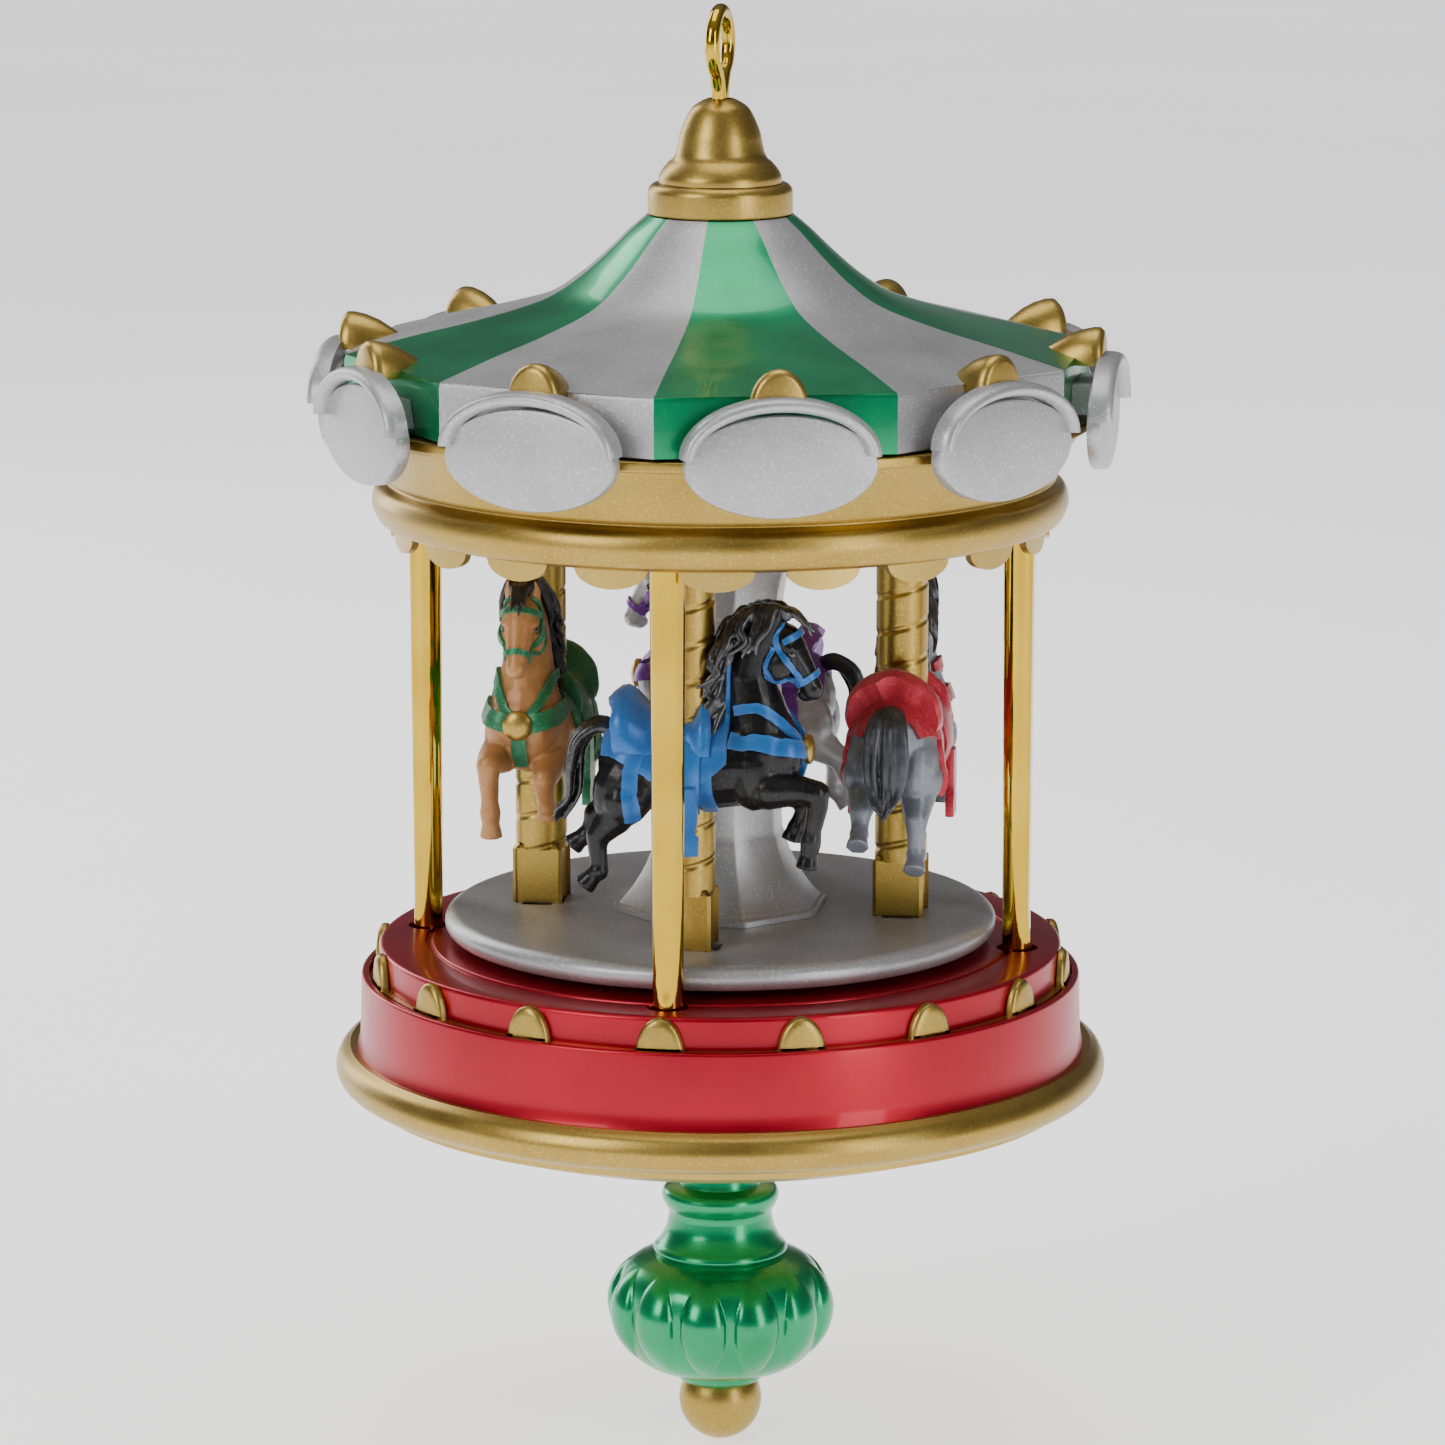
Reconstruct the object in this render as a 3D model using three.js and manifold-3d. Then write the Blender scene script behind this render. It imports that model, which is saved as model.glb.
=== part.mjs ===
// A hanging carousel music box. A gold eye carries a striped tent roof, which stands on four
// columns over a red base. Inside the columns a platform with four horses turns on the shaft of
// a spring movement, and a green knob under the base winds the spring.
//
// Millimetres, +Z up. Heights are counted from the underside of the base flange while the pieces
// are made; the finished assembly is lowered so that the hanging point of the eye is the origin.
// The first column, pole and horse stand on -Y.

import * as THREE from "three";
import { mergeVertices } from "three/addons/utils/BufferGeometryUtils.js";
import Module from "manifold-3d";

const wasm = await Module();
wasm.setup();

// ---------------------------------------------------------------- driving sizes

// Facets around large rings, middling turned pieces and small rods.
const sides = { large: 36, middle: 20, small: 12 };

const fit = {
  seat: 0.3,      // between a piece and the piece that carries it
  running: 0.5,   // around a turning shaft or plate
  spindle: 0.15,  // around a small spindle in its bearing
};

const flange = { thickness: 4.1, overhang: 1.4, lip: 3.5 };
const drum = { height: 7.8, flare: 1.4, flareHeight: 2.8, wall: 2 };
const plinth = { radius: 35.95, rise: 3.2, edge: 0.35 };
const groove = { width: 1.2, depth: 1, rim: 0.75 };
const cover = { drop: 7, thickness: 1.6, lipHeight: 2.2, lipWall: 1.4 };
const baseStud = { count: 16, width: 5, height: 3.2, thickness: 0.6, ring: 0.5 };

const column = { count: 4, inset: 4.4, footRadius: 1.5, topRadius: 1.75, facet: 0.3, height: 46.9 };
const columnNut = { radius: 2.15, thickness: 1.5 };
const columnRecess = { radius: 2.15, depth: 0.6 };

const platform = { thickness: 2.5, lift: 0.9, edge: 0.6, columnGap: 1 };
const hub = { baseRadius: 11.5, waistRadius: 6.6, flareHeight: 9.6, skirt: 0.8, upperFlare: 13 };
const pole = { circle: 19.2, radius: 2.72, footWidth: 5.3, footHeight: 6 };
const ceiling = { thickness: 2, rise: 0.3 };

const cornice = { bulge: 2, bulgeHeight: 4.7, soffit: 1.6, coneRise: 5.7, coneSpread: 3.4, wall: 1.4 };
const bar = { height: 1.15, projection: 0.9 };
const valance = { scallops: 20, drop: 4.1, scallopDepth: 1.8, thickness: 0.7 };

const roof = { sides: 10, overhang: 0.15, fascia: 6, wall: 1.5, crownRadius: 7.7 };
const medallion = { width: 19.1, height: 10.15, drop: 6.25, thickness: 2 };
const brow = { width: 19.8, rise: 5.85, band: 1.9, thickness: 2.7 };
const roofStud = { width: 5.7, height: 2.8, depth: 2.6 };
const collar = { radius: 7.5, height: 2.7, edge: 0.3 };
const cap = { radius: 6.37, height: 8.4 };
const eye = { ringRadius: 3.35, wire: 0.75, neckRadius: 1.25, neckHeight: 2.2, stemRadius: 0.9, turn: -4.5 };
const eyeNut = { radius: 3, thickness: 2 };

const shaft = { radius: 3 };
const arbor = { radius: 1.7, depthInKnob: 14.6 };
const gear = { module: 0.7, pinionTeeth: 10, barrelTeeth: 36 };
// The gear teeth, in modules.
const tooth = { addendum: 0.857, dedendum: 1.143, rootWidth: 1.571, tipWidth: 0.786 };
const bedplate = { thickness: 1.6, lift: 0.2, postRadius: 2.2, postInset: 4.5 };
const barrel = { canStep: 1.2, canDrop: 3, gearThickness: 2.4, gearLift: 1.4, boss: 4, bossHeight: 2.4,
  lidStep: 0.3, boreRise: 1 };
const tune = { radius: 3, pin: 0.5, pinWidth: 0.4, pins: 14, bearing: 1.2, pivot: 0.8, pinionWidth: 1.2 };
const comb = { teeth: 14, toothWidth: 0.55, toothLength: 5, plate: 6.5, thickness: 1 };
const combScrew = { shank: 0.9, head: 1.7, headHeight: 1.1, depth: 3, inset: 3.2 };
const governor = { spindle: 0.6, fanRadius: 4, fanHeight: 3.6, fanThickness: 0.6, post: 1.9, arm: 1.2 };

const knob = { stemRadius: 4.1, stemLength: 4, lobes: 12, lobeDepth: 0.7, melonTop: 8.8, melonBottom: 19.5 };
// The knob's outside under its stem, as [radius, height under the stem].
const knobOutline = [[4.1, 0], [5.7, -0.7], [6.26, -1.8], [5.9, -2.7], [5.55, -3.4], [5.98, -4.8],
  [6.98, -7.4], [9.94, -8.8], [11.5, -11.2], [12.05, -13.6], [11.8, -15.4], [10.6, -18], [8.47, -19.5],
  [5.53, -20.8], [4.6, -21.8]];
const ball = { radius: 4.41, drop: 23.77, shank: 1.2, shankLength: 8 };

// ---------------------------------------------------------------- sizes that follow

const gearRadius = gear.module * gear.barrelTeeth / 2;
const pinionRadius = gear.module * gear.pinionTeeth / 2;
const addendum = gear.module * tooth.addendum;
const canRadius = gearRadius - barrel.canStep;

const drumRadius = plinth.radius + groove.width + groove.rim;
const drumFoot = flange.thickness + fit.seat;
const drumRim = drumFoot + drum.height;
const plinthTop = drumRim + plinth.rise;
const plateUnderside = plinthTop - drum.wall;
const grooveFloor = drumRim - groove.depth;
const drumInside = drumRadius - drum.wall;

const columnCircle = plinth.radius - column.inset;
const columnTop = plinthTop + column.height;
const platformRadius = columnCircle - column.footRadius - platform.columnGap;
const platformBottom = plinthTop + platform.lift;
const platformTop = platformBottom + platform.thickness;

const soffitBottom = columnTop + fit.seat;
const soffitInside = columnCircle - column.topRadius - fit.seat;
const ceilingRadius = soffitInside - fit.running;
const ceilingBottom = soffitBottom + ceiling.rise;
const ceilingTop = ceilingBottom + ceiling.thickness;
const valanceInside = columnCircle + column.topRadius + fit.seat;
const corniceInside = valanceInside + valance.thickness + fit.seat;
const coveHeight = soffitBottom + cornice.bulgeHeight / 2;
const barBottom = coveHeight + cornice.coneRise;
const barTop = barBottom + bar.height;
const coneRadius = corniceInside + cornice.coneSpread;
const barRadius = coneRadius + bar.projection;

const roofBottom = barTop + fit.seat;
const roofRim = roofBottom + roof.fascia;
const roofRadius = barRadius + roof.overhang;
const fasciaDistance = roofRadius * Math.cos(Math.PI / roof.sides);
// The tent's sag, as [share of the way from the rim to the crown, height above the rim].
const tent = [[0.45, 3.4], [0.57, 4.2], [0.65, 5.1], [0.74, 6.7], [0.81, 8.6], [0.9, 11.2], [1, 13.8]];
const roofTop = roofRim + tent.at(-1)[1];
const collarBottom = roofTop + fit.seat;
const capBottom = collarBottom + collar.height + fit.seat;
const capTop = capBottom + cap.height;
const eyeNeck = capTop + fit.seat;
const eyeCentre = eyeNeck + eye.neckHeight + eye.ringRadius;
const hangHeight = eyeCentre + eye.ringRadius - eye.wire;
const stemHole = eye.stemRadius + fit.seat;

const bedTop = bedplate.lift + bedplate.thickness;
const bedRadius = plinth.radius - drum.wall - 2 * fit.running - cover.lipWall;
const postCircle = bedRadius - bedplate.postInset;
const barrelHole = canRadius + fit.running;
const gearBottom = bedTop + barrel.gearLift;
const gearTop = gearBottom + barrel.gearThickness;
const barrelBottom = bedplate.lift - barrel.canDrop;
const barrelTop = gearTop + barrel.bossHeight;
const tuneHeight = gearTop - addendum + pinionRadius;
const tuneStart = gearRadius + addendum + fit.running;
const tuneEnd = bedRadius - tune.bearing - fit.running;
const combTip = tune.radius + tune.pin + fit.seat;
const combBottom = tuneHeight - comb.thickness / 2;
const governorCircle = gearRadius + pinionRadius;

const coverLip = drumInside - fit.running;
const coverBottom = -fit.seat - cover.drop;
const knobTop = coverBottom - fit.seat;

// ---------------------------------------------------------------- shapes and solids

// Shared vertices are merged, triangles that closed up are dropped and the faces look outwards.
function closed(geometry) {
  const bare = geometry.index ? geometry.toNonIndexed() : geometry;
  bare.deleteAttribute("normal");
  bare.deleteAttribute("uv");
  const merged = mergeVertices(bare, 1e-4);
  const at = merged.attributes.position;
  const corner = (i) => new THREE.Vector3().fromBufferAttribute(at, i);
  const kept = [];
  let volume = 0;
  for (let i = 0; i < merged.index.count; i += 3) {
    const [a, b, c] = [0, 1, 2].map((k) => merged.index.getX(i + k));
    if (a !== b && b !== c && c !== a) {
      kept.push(a, b, c);
      volume += corner(a).dot(corner(b).cross(corner(c)));
    }
  }
  merged.setIndex(volume < 0 ? kept.reverse() : kept);
  return merged;
}

function solid(geometry) {
  const body = closed(geometry);
  const vertProperties = new Float32Array(body.attributes.position.array);
  const triVerts = new Uint32Array(body.index.array);
  return new wasm.Manifold(new wasm.Mesh({ numProp: 3, vertProperties, triVerts }));
}

function surface(manifold) {
  const mesh = manifold.getMesh();
  const geometry = new THREE.BufferGeometry();
  geometry.setAttribute("position", new THREE.BufferAttribute(mesh.vertProperties, mesh.numProp));
  geometry.setIndex(new THREE.BufferAttribute(mesh.triVerts, 1));
  return geometry;
}

function join(...geometries) {
  return surface(geometries.map(solid).reduce((sum, next) => sum.add(next)));
}

function cut(geometry, ...tools) {
  return surface(tools.map(solid).reduce((rest, tool) => rest.subtract(tool), solid(geometry)));
}

// A profile of [radius, height] pairs turned about Z; the first corner lies at the start angle.
function turned(profile, facets, start = 0) {
  const points = profile.map(([radius, height]) => new THREE.Vector2(radius, height));
  return new THREE.LatheGeometry(points, facets, start).rotateX(Math.PI / 2);
}

// The same for a profile that goes round a hole and closes on itself.
function ring(profile, facets, start = 0) {
  return turned([...profile, profile[0]], facets, start);
}

function rod(radius, bottom, top, facets = sides.small) {
  return turned([[0, bottom], [radius, bottom], [radius, top], [0, top]], facets);
}

function block(low, high) {
  const size = low.map((value, i) => high[i] - value);
  const middle = low.map((value, i) => (high[i] + value) / 2);
  return new THREE.BoxGeometry(...size).translate(...middle);
}

// An outline extruded upwards from the given height.
function slab(shape, bottom, thickness, curveSegments = 12) {
  const options = { depth: thickness, bevelEnabled: false, curveSegments };
  return new THREE.ExtrudeGeometry(shape, options).translate(0, 0, bottom);
}

// An outline in the vertical plane that faces -Y, extruded outwards from the given distance.
function plaque(shape, distance, thickness, curveSegments = 8) {
  const options = { depth: thickness, bevelEnabled: false, curveSegments };
  return new THREE.ExtrudeGeometry(shape, options).rotateX(Math.PI / 2).translate(0, -distance, 0);
}

// A spur wheel with straight-sided teeth, with its first tooth on the given angle.
function wheel(teeth, firstTooth, hole = 0) {
  const pitch = gear.module * teeth / 2;
  const root = pitch - gear.module * tooth.dedendum;
  const tip = pitch + addendum;
  const shape = new THREE.Shape();
  for (let i = 0; i < teeth; i++) {
    const middle = firstTooth + i * 2 * Math.PI / teeth;
    const rootHalf = gear.module * tooth.rootWidth / 2 / root;
    const tipHalf = gear.module * tooth.tipWidth / 2 / tip;
    for (const [radius, turn] of [[root, -rootHalf], [tip, -tipHalf], [tip, tipHalf], [root, rootHalf]]) {
      const x = radius * Math.cos(middle + turn);
      const y = radius * Math.sin(middle + turn);
      if (i === 0 && radius === root && turn < 0) shape.moveTo(x, y);
      else shape.lineTo(x, y);
    }
  }
  if (hole > 0) shape.holes.push(new THREE.Path().absarc(0, 0, hole, 0, 2 * Math.PI, true));
  return shape;
}

// A half ellipse standing on its flat side.
function tabletShape(width, height, bottom) {
  const shape = new THREE.Shape();
  shape.moveTo(width / 2, bottom);
  shape.absellipse(0, bottom, width / 2, height, 0, Math.PI, false);
  return shape;
}

// A tapered limb with blunt pointed ends between two points.
function limb([from, fromRadius], [to, toRadius], flatten = 1) {
  const start = new THREE.Vector3(...from);
  const end = new THREE.Vector3(...to);
  const length = start.distanceTo(end);
  const belt = 0.35;
  const profile = [
    [0, -fromRadius],
    [fromRadius, -belt * fromRadius],
    [toRadius, length + belt * toRadius],
    [0, length + toRadius],
  ];
  const geometry = turned(profile, 5, Math.PI / 5);
  const direction = end.clone().sub(start).normalize();
  const turn = new THREE.Quaternion().setFromUnitVectors(new THREE.Vector3(0, 0, 1), direction);
  geometry.applyQuaternion(turn);
  geometry.scale(1, flatten, 1);
  return geometry.translate(start.x, start.y, start.z);
}

// ---------------------------------------------------------------- materials

function finish(color, roughness, metalness) {
  return () => new THREE.MeshStandardMaterial({ color, roughness, metalness });
}

const gold = finish(0xd9a441, 0.25, 1);
const satinGold = finish(0xcfae6d, 0.4, 1);
const silver = finish(0xb9bcc0, 0.45, 0.8);
const candyRed = finish(0x8e0d1c, 0.2, 0.6);
const candyGreen = finish(0x0d6b43, 0.25, 0.7);
const steel = finish(0x8c9095, 0.35, 1);
const brass = finish(0xb59a4c, 0.35, 1);
const horseColours = [finish(0x2a2a2e, 0.4, 0.3), finish(0x6d7b90, 0.4, 0.3),
  finish(0xc9c9cc, 0.4, 0.3), finish(0xb98d5e, 0.4, 0.3)];

// ---------------------------------------------------------------- the assembly

const group = new THREE.Group();
const frame = new THREE.Group();
const turntable = new THREE.Group();
frame.position.z = -hangHeight;
frame.add(turntable);
group.add(frame);

function add(parent, name, geometry, material, turn = 0) {
  const mesh = new THREE.Mesh(closed(geometry), material());
  mesh.name = name;
  mesh.rotation.z = turn;
  parent.add(mesh);
}

function around(count, first, make) {
  for (let i = 0; i < count; i++) make(i, first + i * 2 * Math.PI / count);
}

// ---------------------------------------------------------------- the base

function baseDrum() {
  const foot = drumRadius + drum.flare;
  const shell = ring([
    [shaft.radius + fit.running, plinthTop],
    [plinth.radius - plinth.edge, plinthTop],
    [plinth.radius, plinthTop - plinth.edge],
    [plinth.radius, grooveFloor],
    [plinth.radius + groove.width, grooveFloor],
    [plinth.radius + groove.width, drumRim],
    [drumRadius - plinth.edge, drumRim],
    [drumRadius, drumRim - plinth.edge],
    [drumRadius, drumFoot + drum.flareHeight],
    [drumRadius + drum.flare / 3, drumFoot + drum.flareHeight / 3],
    [foot, drumFoot],
    [drumInside, drumFoot],
    [drumInside, grooveFloor - drum.wall],
    [plinth.radius - drum.wall, grooveFloor - drum.wall],
    [plinth.radius - drum.wall, plateUnderside],
    [shaft.radius + fit.running, plateUnderside],
  ], sides.large);
  const posts = [60, 120, 240, 300].map((degrees) => {
    const turn = THREE.MathUtils.degToRad(degrees);
    return rod(bedplate.postRadius, bedTop + fit.seat, plinthTop - drum.wall / 2)
      .translate(postCircle * Math.cos(turn), postCircle * Math.sin(turn), 0);
  });
  const holes = [];
  around(column.count, 0, (i, turn) => {
    const hole = rod(column.footRadius + fit.seat, plateUnderside - drum.wall, plinthTop + drum.wall);
    const recess = rod(columnRecess.radius, plinthTop - columnRecess.depth, plinthTop + drum.wall);
    holes.push(hole.translate(0, -columnCircle, 0).rotateZ(turn));
    holes.push(recess.translate(0, -columnCircle, 0).rotateZ(turn));
  });
  return cut(join(shell, ...posts), ...holes);
}

function baseFlange() {
  const top = drumRadius + drum.flare;
  const widest = top + flange.overhang;
  return ring([
    [top, flange.thickness],
    [widest - flange.overhang / 4, flange.thickness * 0.8],
    [widest, flange.thickness / 2],
    [widest - flange.overhang / 4, flange.thickness * 0.15],
    [top - flange.overhang, 0],
    [drumInside, 0],
    [drumInside, flange.thickness],
  ], sides.large);
}

// The studs stand in the groove against the plinth, on one thin ring that joins them.
function baseStudRing() {
  const inner = plinth.radius + fit.seat;
  const bottom = grooveFloor + fit.seat;
  const band = ring([
    [inner, bottom],
    [inner + baseStud.thickness, bottom],
    [inner + baseStud.thickness, bottom + baseStud.ring],
    [inner, bottom + baseStud.ring],
  ], sides.large);
  const studs = [];
  around(baseStud.count, 0, (i, turn) => {
    const height = baseStud.height + groove.depth - fit.seat;
    const stud = plaque(tabletShape(baseStud.width, height, bottom), inner, baseStud.thickness, 3);
    studs.push(stud.rotateZ(turn));
  });
  return join(band, ...studs);
}

// A shallow dome closes the base from below; its lip stands inside the flange.
function bottomCover() {
  const rim = -fit.seat;
  const hole = arbor.radius + fit.running;
  const middle = coverLip / 2;
  return ring([
    [coverLip + drum.wall, rim],
    [coverLip + drum.wall, rim - cover.thickness / 2],
    [middle, rim - cover.drop * 0.78],
    [hole, rim - cover.drop],
    [hole, rim - cover.drop + cover.thickness],
    [middle, rim - cover.drop * 0.78 + cover.thickness],
    [coverLip - cover.lipWall, rim],
    [coverLip - cover.lipWall, rim + cover.lipHeight],
    [coverLip, rim + cover.lipHeight],
    [coverLip, rim],
  ], sides.large);
}

// ---------------------------------------------------------------- columns

// The column hangs the base on its foot disc; a flat facet runs down its outer side.
function columnShape() {
  const discTop = plateUnderside - fit.seat;
  const body = turned([
    [0, discTop - columnNut.thickness],
    [columnNut.radius, discTop - columnNut.thickness],
    [columnNut.radius, discTop],
    [column.footRadius, discTop],
    [column.footRadius, plinthTop],
    [column.topRadius, columnTop],
    [0, columnTop],
  ], sides.small);
  const depth = column.topRadius - column.facet;
  const facet = block(
    [-column.topRadius, -2 * column.topRadius, plinthTop + column.topRadius],
    [column.topRadius, -depth, columnTop + 1],
  );
  return cut(body, facet).translate(0, -columnCircle, 0);
}

// ---------------------------------------------------------------- canopy

// The cornice: a fat lower moulding, a cone and a bar on top, with a soffit for the columns.
function corniceBand() {
  const bulgeBottom = coveHeight - cornice.bulgeHeight;
  const profile = [[corniceInside, soffitBottom], [corniceInside, bulgeBottom]];
  for (let i = 1; i < 5; i++) {
    const turn = Math.PI * i / 5;
    const radius = corniceInside + cornice.bulge * Math.sin(turn);
    profile.push([radius, bulgeBottom + cornice.bulgeHeight * (1 - Math.cos(turn)) / 2]);
  }
  profile.push(
    [corniceInside, coveHeight],
    [coneRadius, barBottom],
    [barRadius, barBottom],
    [barRadius, barTop],
    [coneRadius - cornice.wall, barTop],
    [coneRadius - cornice.wall, barBottom],
    [corniceInside - cornice.wall, coveHeight],
    [corniceInside - cornice.wall, soffitBottom + cornice.soffit],
    [soffitInside, soffitBottom + cornice.soffit],
    [soffitInside, soffitBottom],
  );
  return ring(profile, sides.large);
}

// A ring whose lower edge hangs in scallops, with a valley over every column.
function scallopedValance() {
  const top = soffitBottom - fit.seat;
  const bottom = top - valance.drop;
  const outside = valanceInside + valance.thickness;
  const edge = [[valanceInside, top], [outside, top], [outside, bottom], [valanceInside, bottom]];
  const geometry = ring(edge, 4 * valance.scallops);
  const at = geometry.attributes.position;
  for (let i = 0; i < at.count; i++) {
    if (at.getZ(i) < bottom + valance.scallopDepth) {
      const turn = Math.atan2(at.getX(i), -at.getY(i));
      const wave = Math.abs(Math.sin(turn * valance.scallops / 2));
      at.setZ(i, bottom + valance.scallopDepth * (1 - wave ** 1.5));
    }
  }
  return geometry;
}

function canopyRoof() {
  const slope = tent.map(([share, height]) => {
    const radius = roofRadius + share * (roof.crownRadius - roofRadius);
    return [radius, roofRim + height];
  });
  const under = slope.map(([radius, height]) => [radius - roof.wall / 3, height - roof.wall]).reverse();
  return ring([
    [roofRadius, roofBottom],
    [roofRadius, roofRim],
    ...slope,
    [stemHole, roofTop],
    [stemHole, roofTop - roof.wall],
    ...under,
    [roofRadius - roof.wall, roofRim - roof.wall],
    [roofRadius - roof.wall, roofBottom],
  ], roof.sides);
}

// An oval disc under a raised brow, on a pad that carries it on the fascia above the bar.
function medallionShape() {
  const front = barRadius + fit.seat;
  const middle = roofRim - medallion.drop - fit.seat;
  const disc = new THREE.Shape();
  disc.absellipse(0, middle, medallion.width / 2, medallion.height / 2, 0, 2 * Math.PI, false);
  const arch = new THREE.Shape();
  const archFoot = middle + medallion.height / 10;
  arch.moveTo(brow.width / 2, archFoot);
  arch.absellipse(0, archFoot, brow.width / 2, brow.rise, 0, Math.PI, false);
  arch.lineTo(brow.band - brow.width / 2, archFoot);
  arch.absellipse(0, archFoot, brow.width / 2 - brow.band, brow.rise - brow.band, Math.PI, 0, true);
  const pad = block(
    [-medallion.width / 4, -front - medallion.thickness / 2, roofBottom],
    [medallion.width / 4, -fasciaDistance - fit.seat, middle + medallion.height / 3],
  );
  return join(
    plaque(disc, front, medallion.thickness, 7),
    plaque(arch, front, brow.thickness, 4),
    pad,
  );
}

function roofStudShape() {
  const archTop = roofRim - medallion.drop - fit.seat + medallion.height / 10 + brow.rise;
  const shape = tabletShape(roofStud.width, roofStud.height, archTop + fit.seat);
  return plaque(shape, fasciaDistance + fit.seat, roofStud.depth, 4);
}

function roofCollar() {
  const top = collarBottom + collar.height;
  return ring([
    [stemHole, collarBottom],
    [collar.radius, collarBottom],
    [collar.radius, top - collar.edge],
    [collar.radius - collar.edge, top],
    [stemHole, top],
  ], sides.middle);
}

// A bell with a rounded shoulder and a slim neck.
function roofCap() {
  const bell = [[1, 0], [1, 0.12], [0.84, 0.26], [0.72, 0.36], [0.67, 0.55], [0.58, 0.74], [0.5, 0.88],
    [0.3, 1]];
  const outside = bell.map(([radius, height]) => [radius * cap.radius, capBottom + height * cap.height]);
  return ring([[stemHole, capBottom], ...outside, [stemHole, capTop]], sides.middle);
}

// The wire ring, its neck and the stem that goes down through the cap to a nut under the roof.
function hangingEye() {
  const loop = new THREE.TorusGeometry(eye.ringRadius, eye.wire, 8, sides.middle)
    .rotateY(Math.PI / 2)
    .rotateZ(THREE.MathUtils.degToRad(eye.turn))
    .translate(0, 0, eyeCentre);
  const nutTop = roofTop - roof.wall - fit.seat;
  const stem = turned([
    [0, nutTop - eyeNut.thickness],
    [eyeNut.radius, nutTop - eyeNut.thickness],
    [eyeNut.radius, nutTop],
    [eye.stemRadius, nutTop],
    [eye.stemRadius, eyeNeck],
    [eye.neckRadius, eyeNeck],
    [eye.neckRadius, eyeNeck + eye.neckHeight],
    [0, eyeNeck + eye.neckHeight],
  ], sides.small);
  return join(loop, stem);
}

// ---------------------------------------------------------------- the turntable

function turntablePlatform() {
  const hole = shaft.radius + fit.seat;
  return ring([
    [hole, platformBottom],
    [platformRadius, platformBottom],
    [platformRadius, platformTop - platform.edge],
    [platformRadius - platform.edge, platformTop],
    [hole, platformTop],
  ], sides.large);
}

// An octagonal column that flares out to the platform below and to the ceiling plate above.
function hubColumn() {
  const bottom = platformTop + fit.seat;
  const top = ceilingBottom - fit.seat;
  const flare = (share) => hub.waistRadius + (hub.baseRadius - hub.waistRadius) * share;
  return turned([
    [0, bottom],
    [hub.baseRadius, bottom],
    [hub.baseRadius, bottom + hub.skirt],
    [flare(0.35), bottom + hub.flareHeight * 0.3],
    [flare(0.1), bottom + hub.flareHeight * 0.6],
    [hub.waistRadius, bottom + hub.flareHeight],
    [hub.waistRadius, top - hub.upperFlare],
    [flare(0.15), top - hub.upperFlare * 0.6],
    [flare(0.5), top - hub.upperFlare * 0.25],
    [hub.baseRadius, top],
    [0, top],
  ], 8, Math.PI / 8);
}

function horsePole() {
  const bottom = platformTop + fit.seat;
  const half = pole.footWidth / 2;
  const foot = block([-half, -half, bottom], [half, half, bottom + pole.footHeight]);
  return join(foot, rod(pole.radius, bottom + 1, ceilingBottom - fit.seat)).translate(0, -pole.circle, 0);
}

function ceilingPlate() {
  const edge = [[0, ceilingBottom], [ceilingRadius, ceilingBottom], [ceilingRadius, ceilingTop],
    [0, ceilingTop]];
  return turned(edge, sides.large);
}

// The horse looks along +X beside the pole's axis; heights are counted from the platform.
// The bore for the pole keeps its clearance all round.
function horse() {
  const pair = (from, to) => [1, -1].map((side) => {
    const mirrored = ([point, radius]) => [[point[0], side * point[1], point[2]], radius];
    return limb(mirrored(from), mirrored(to));
  });
  const body = limb([[-4.6, 0, 18.9], 4.8], [[7, 0, 20.2], 4.5]);
  const saddle = new THREE.SphereGeometry(1, 10, 5)
    .rotateX(Math.PI / 2)
    .scale(6.2, 5.8, 5)
    .translate(-1.6, 0, 18.8);
  const neck = limb([[7, 0, 22], 3.8], [[7.4, 0, 31.3], 3], 0.75);
  const head = limb([[9.6, 0, 31.9], 2.5], [[12.4, 0, 27.3], 1.5], 0.85);
  const ears = pair([[9.6, 1.1, 33.6], 0.8], [[9.9, 1.2, 35.4], 0.4]);
  const foreNear = [
    limb([[8.6, -2.5, 17.6], 2], [[13.4, -2.6, 16.9], 1.4]),
    limb([[13.4, -2.6, 16.9], 1.4], [[12.8, -2.6, 10.2], 1.2]),
  ];
  const foreFar = [
    limb([[8.2, 2.5, 17.6], 2.1], [[10.9, 2.6, 15.4], 1.4]),
    limb([[10.9, 2.6, 15.4], 1.4], [[10.5, 2.6, 11.9], 1.2]),
  ];
  const hindNear = [
    limb([[-5.8, -2.4, 17], 2.9], [[-9, -2.6, 11.8], 1.4]),
    limb([[-9, -2.6, 11.8], 1.4], [[-9.8, -2.6, 7.4], 1.2]),
  ];
  const hindFar = [
    limb([[-6, 2.4, 17], 2.9], [[-9.4, 2.6, 12.6], 1.4]),
    limb([[-9.4, 2.6, 12.6], 1.4], [[-11.6, 2.6, 10.2], 1.2]),
  ];
  const tail = [
    limb([[-8, 0, 21.8], 1.5], [[-11.3, 0, 19.6], 2]),
    limb([[-11.3, 0, 19.6], 2], [[-13.7, 0, 12.6], 0.9]),
  ];
  const bore = rod(pole.radius + fit.seat, 0, columnTop - platformTop);
  const limbs = [neck, head, ...ears, ...foreNear, ...foreFar, ...hindNear, ...hindFar, ...tail];
  return cut(join(body, saddle, ...limbs), bore).translate(0, -pole.circle, platformTop);
}

// ---------------------------------------------------------------- the movement

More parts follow.
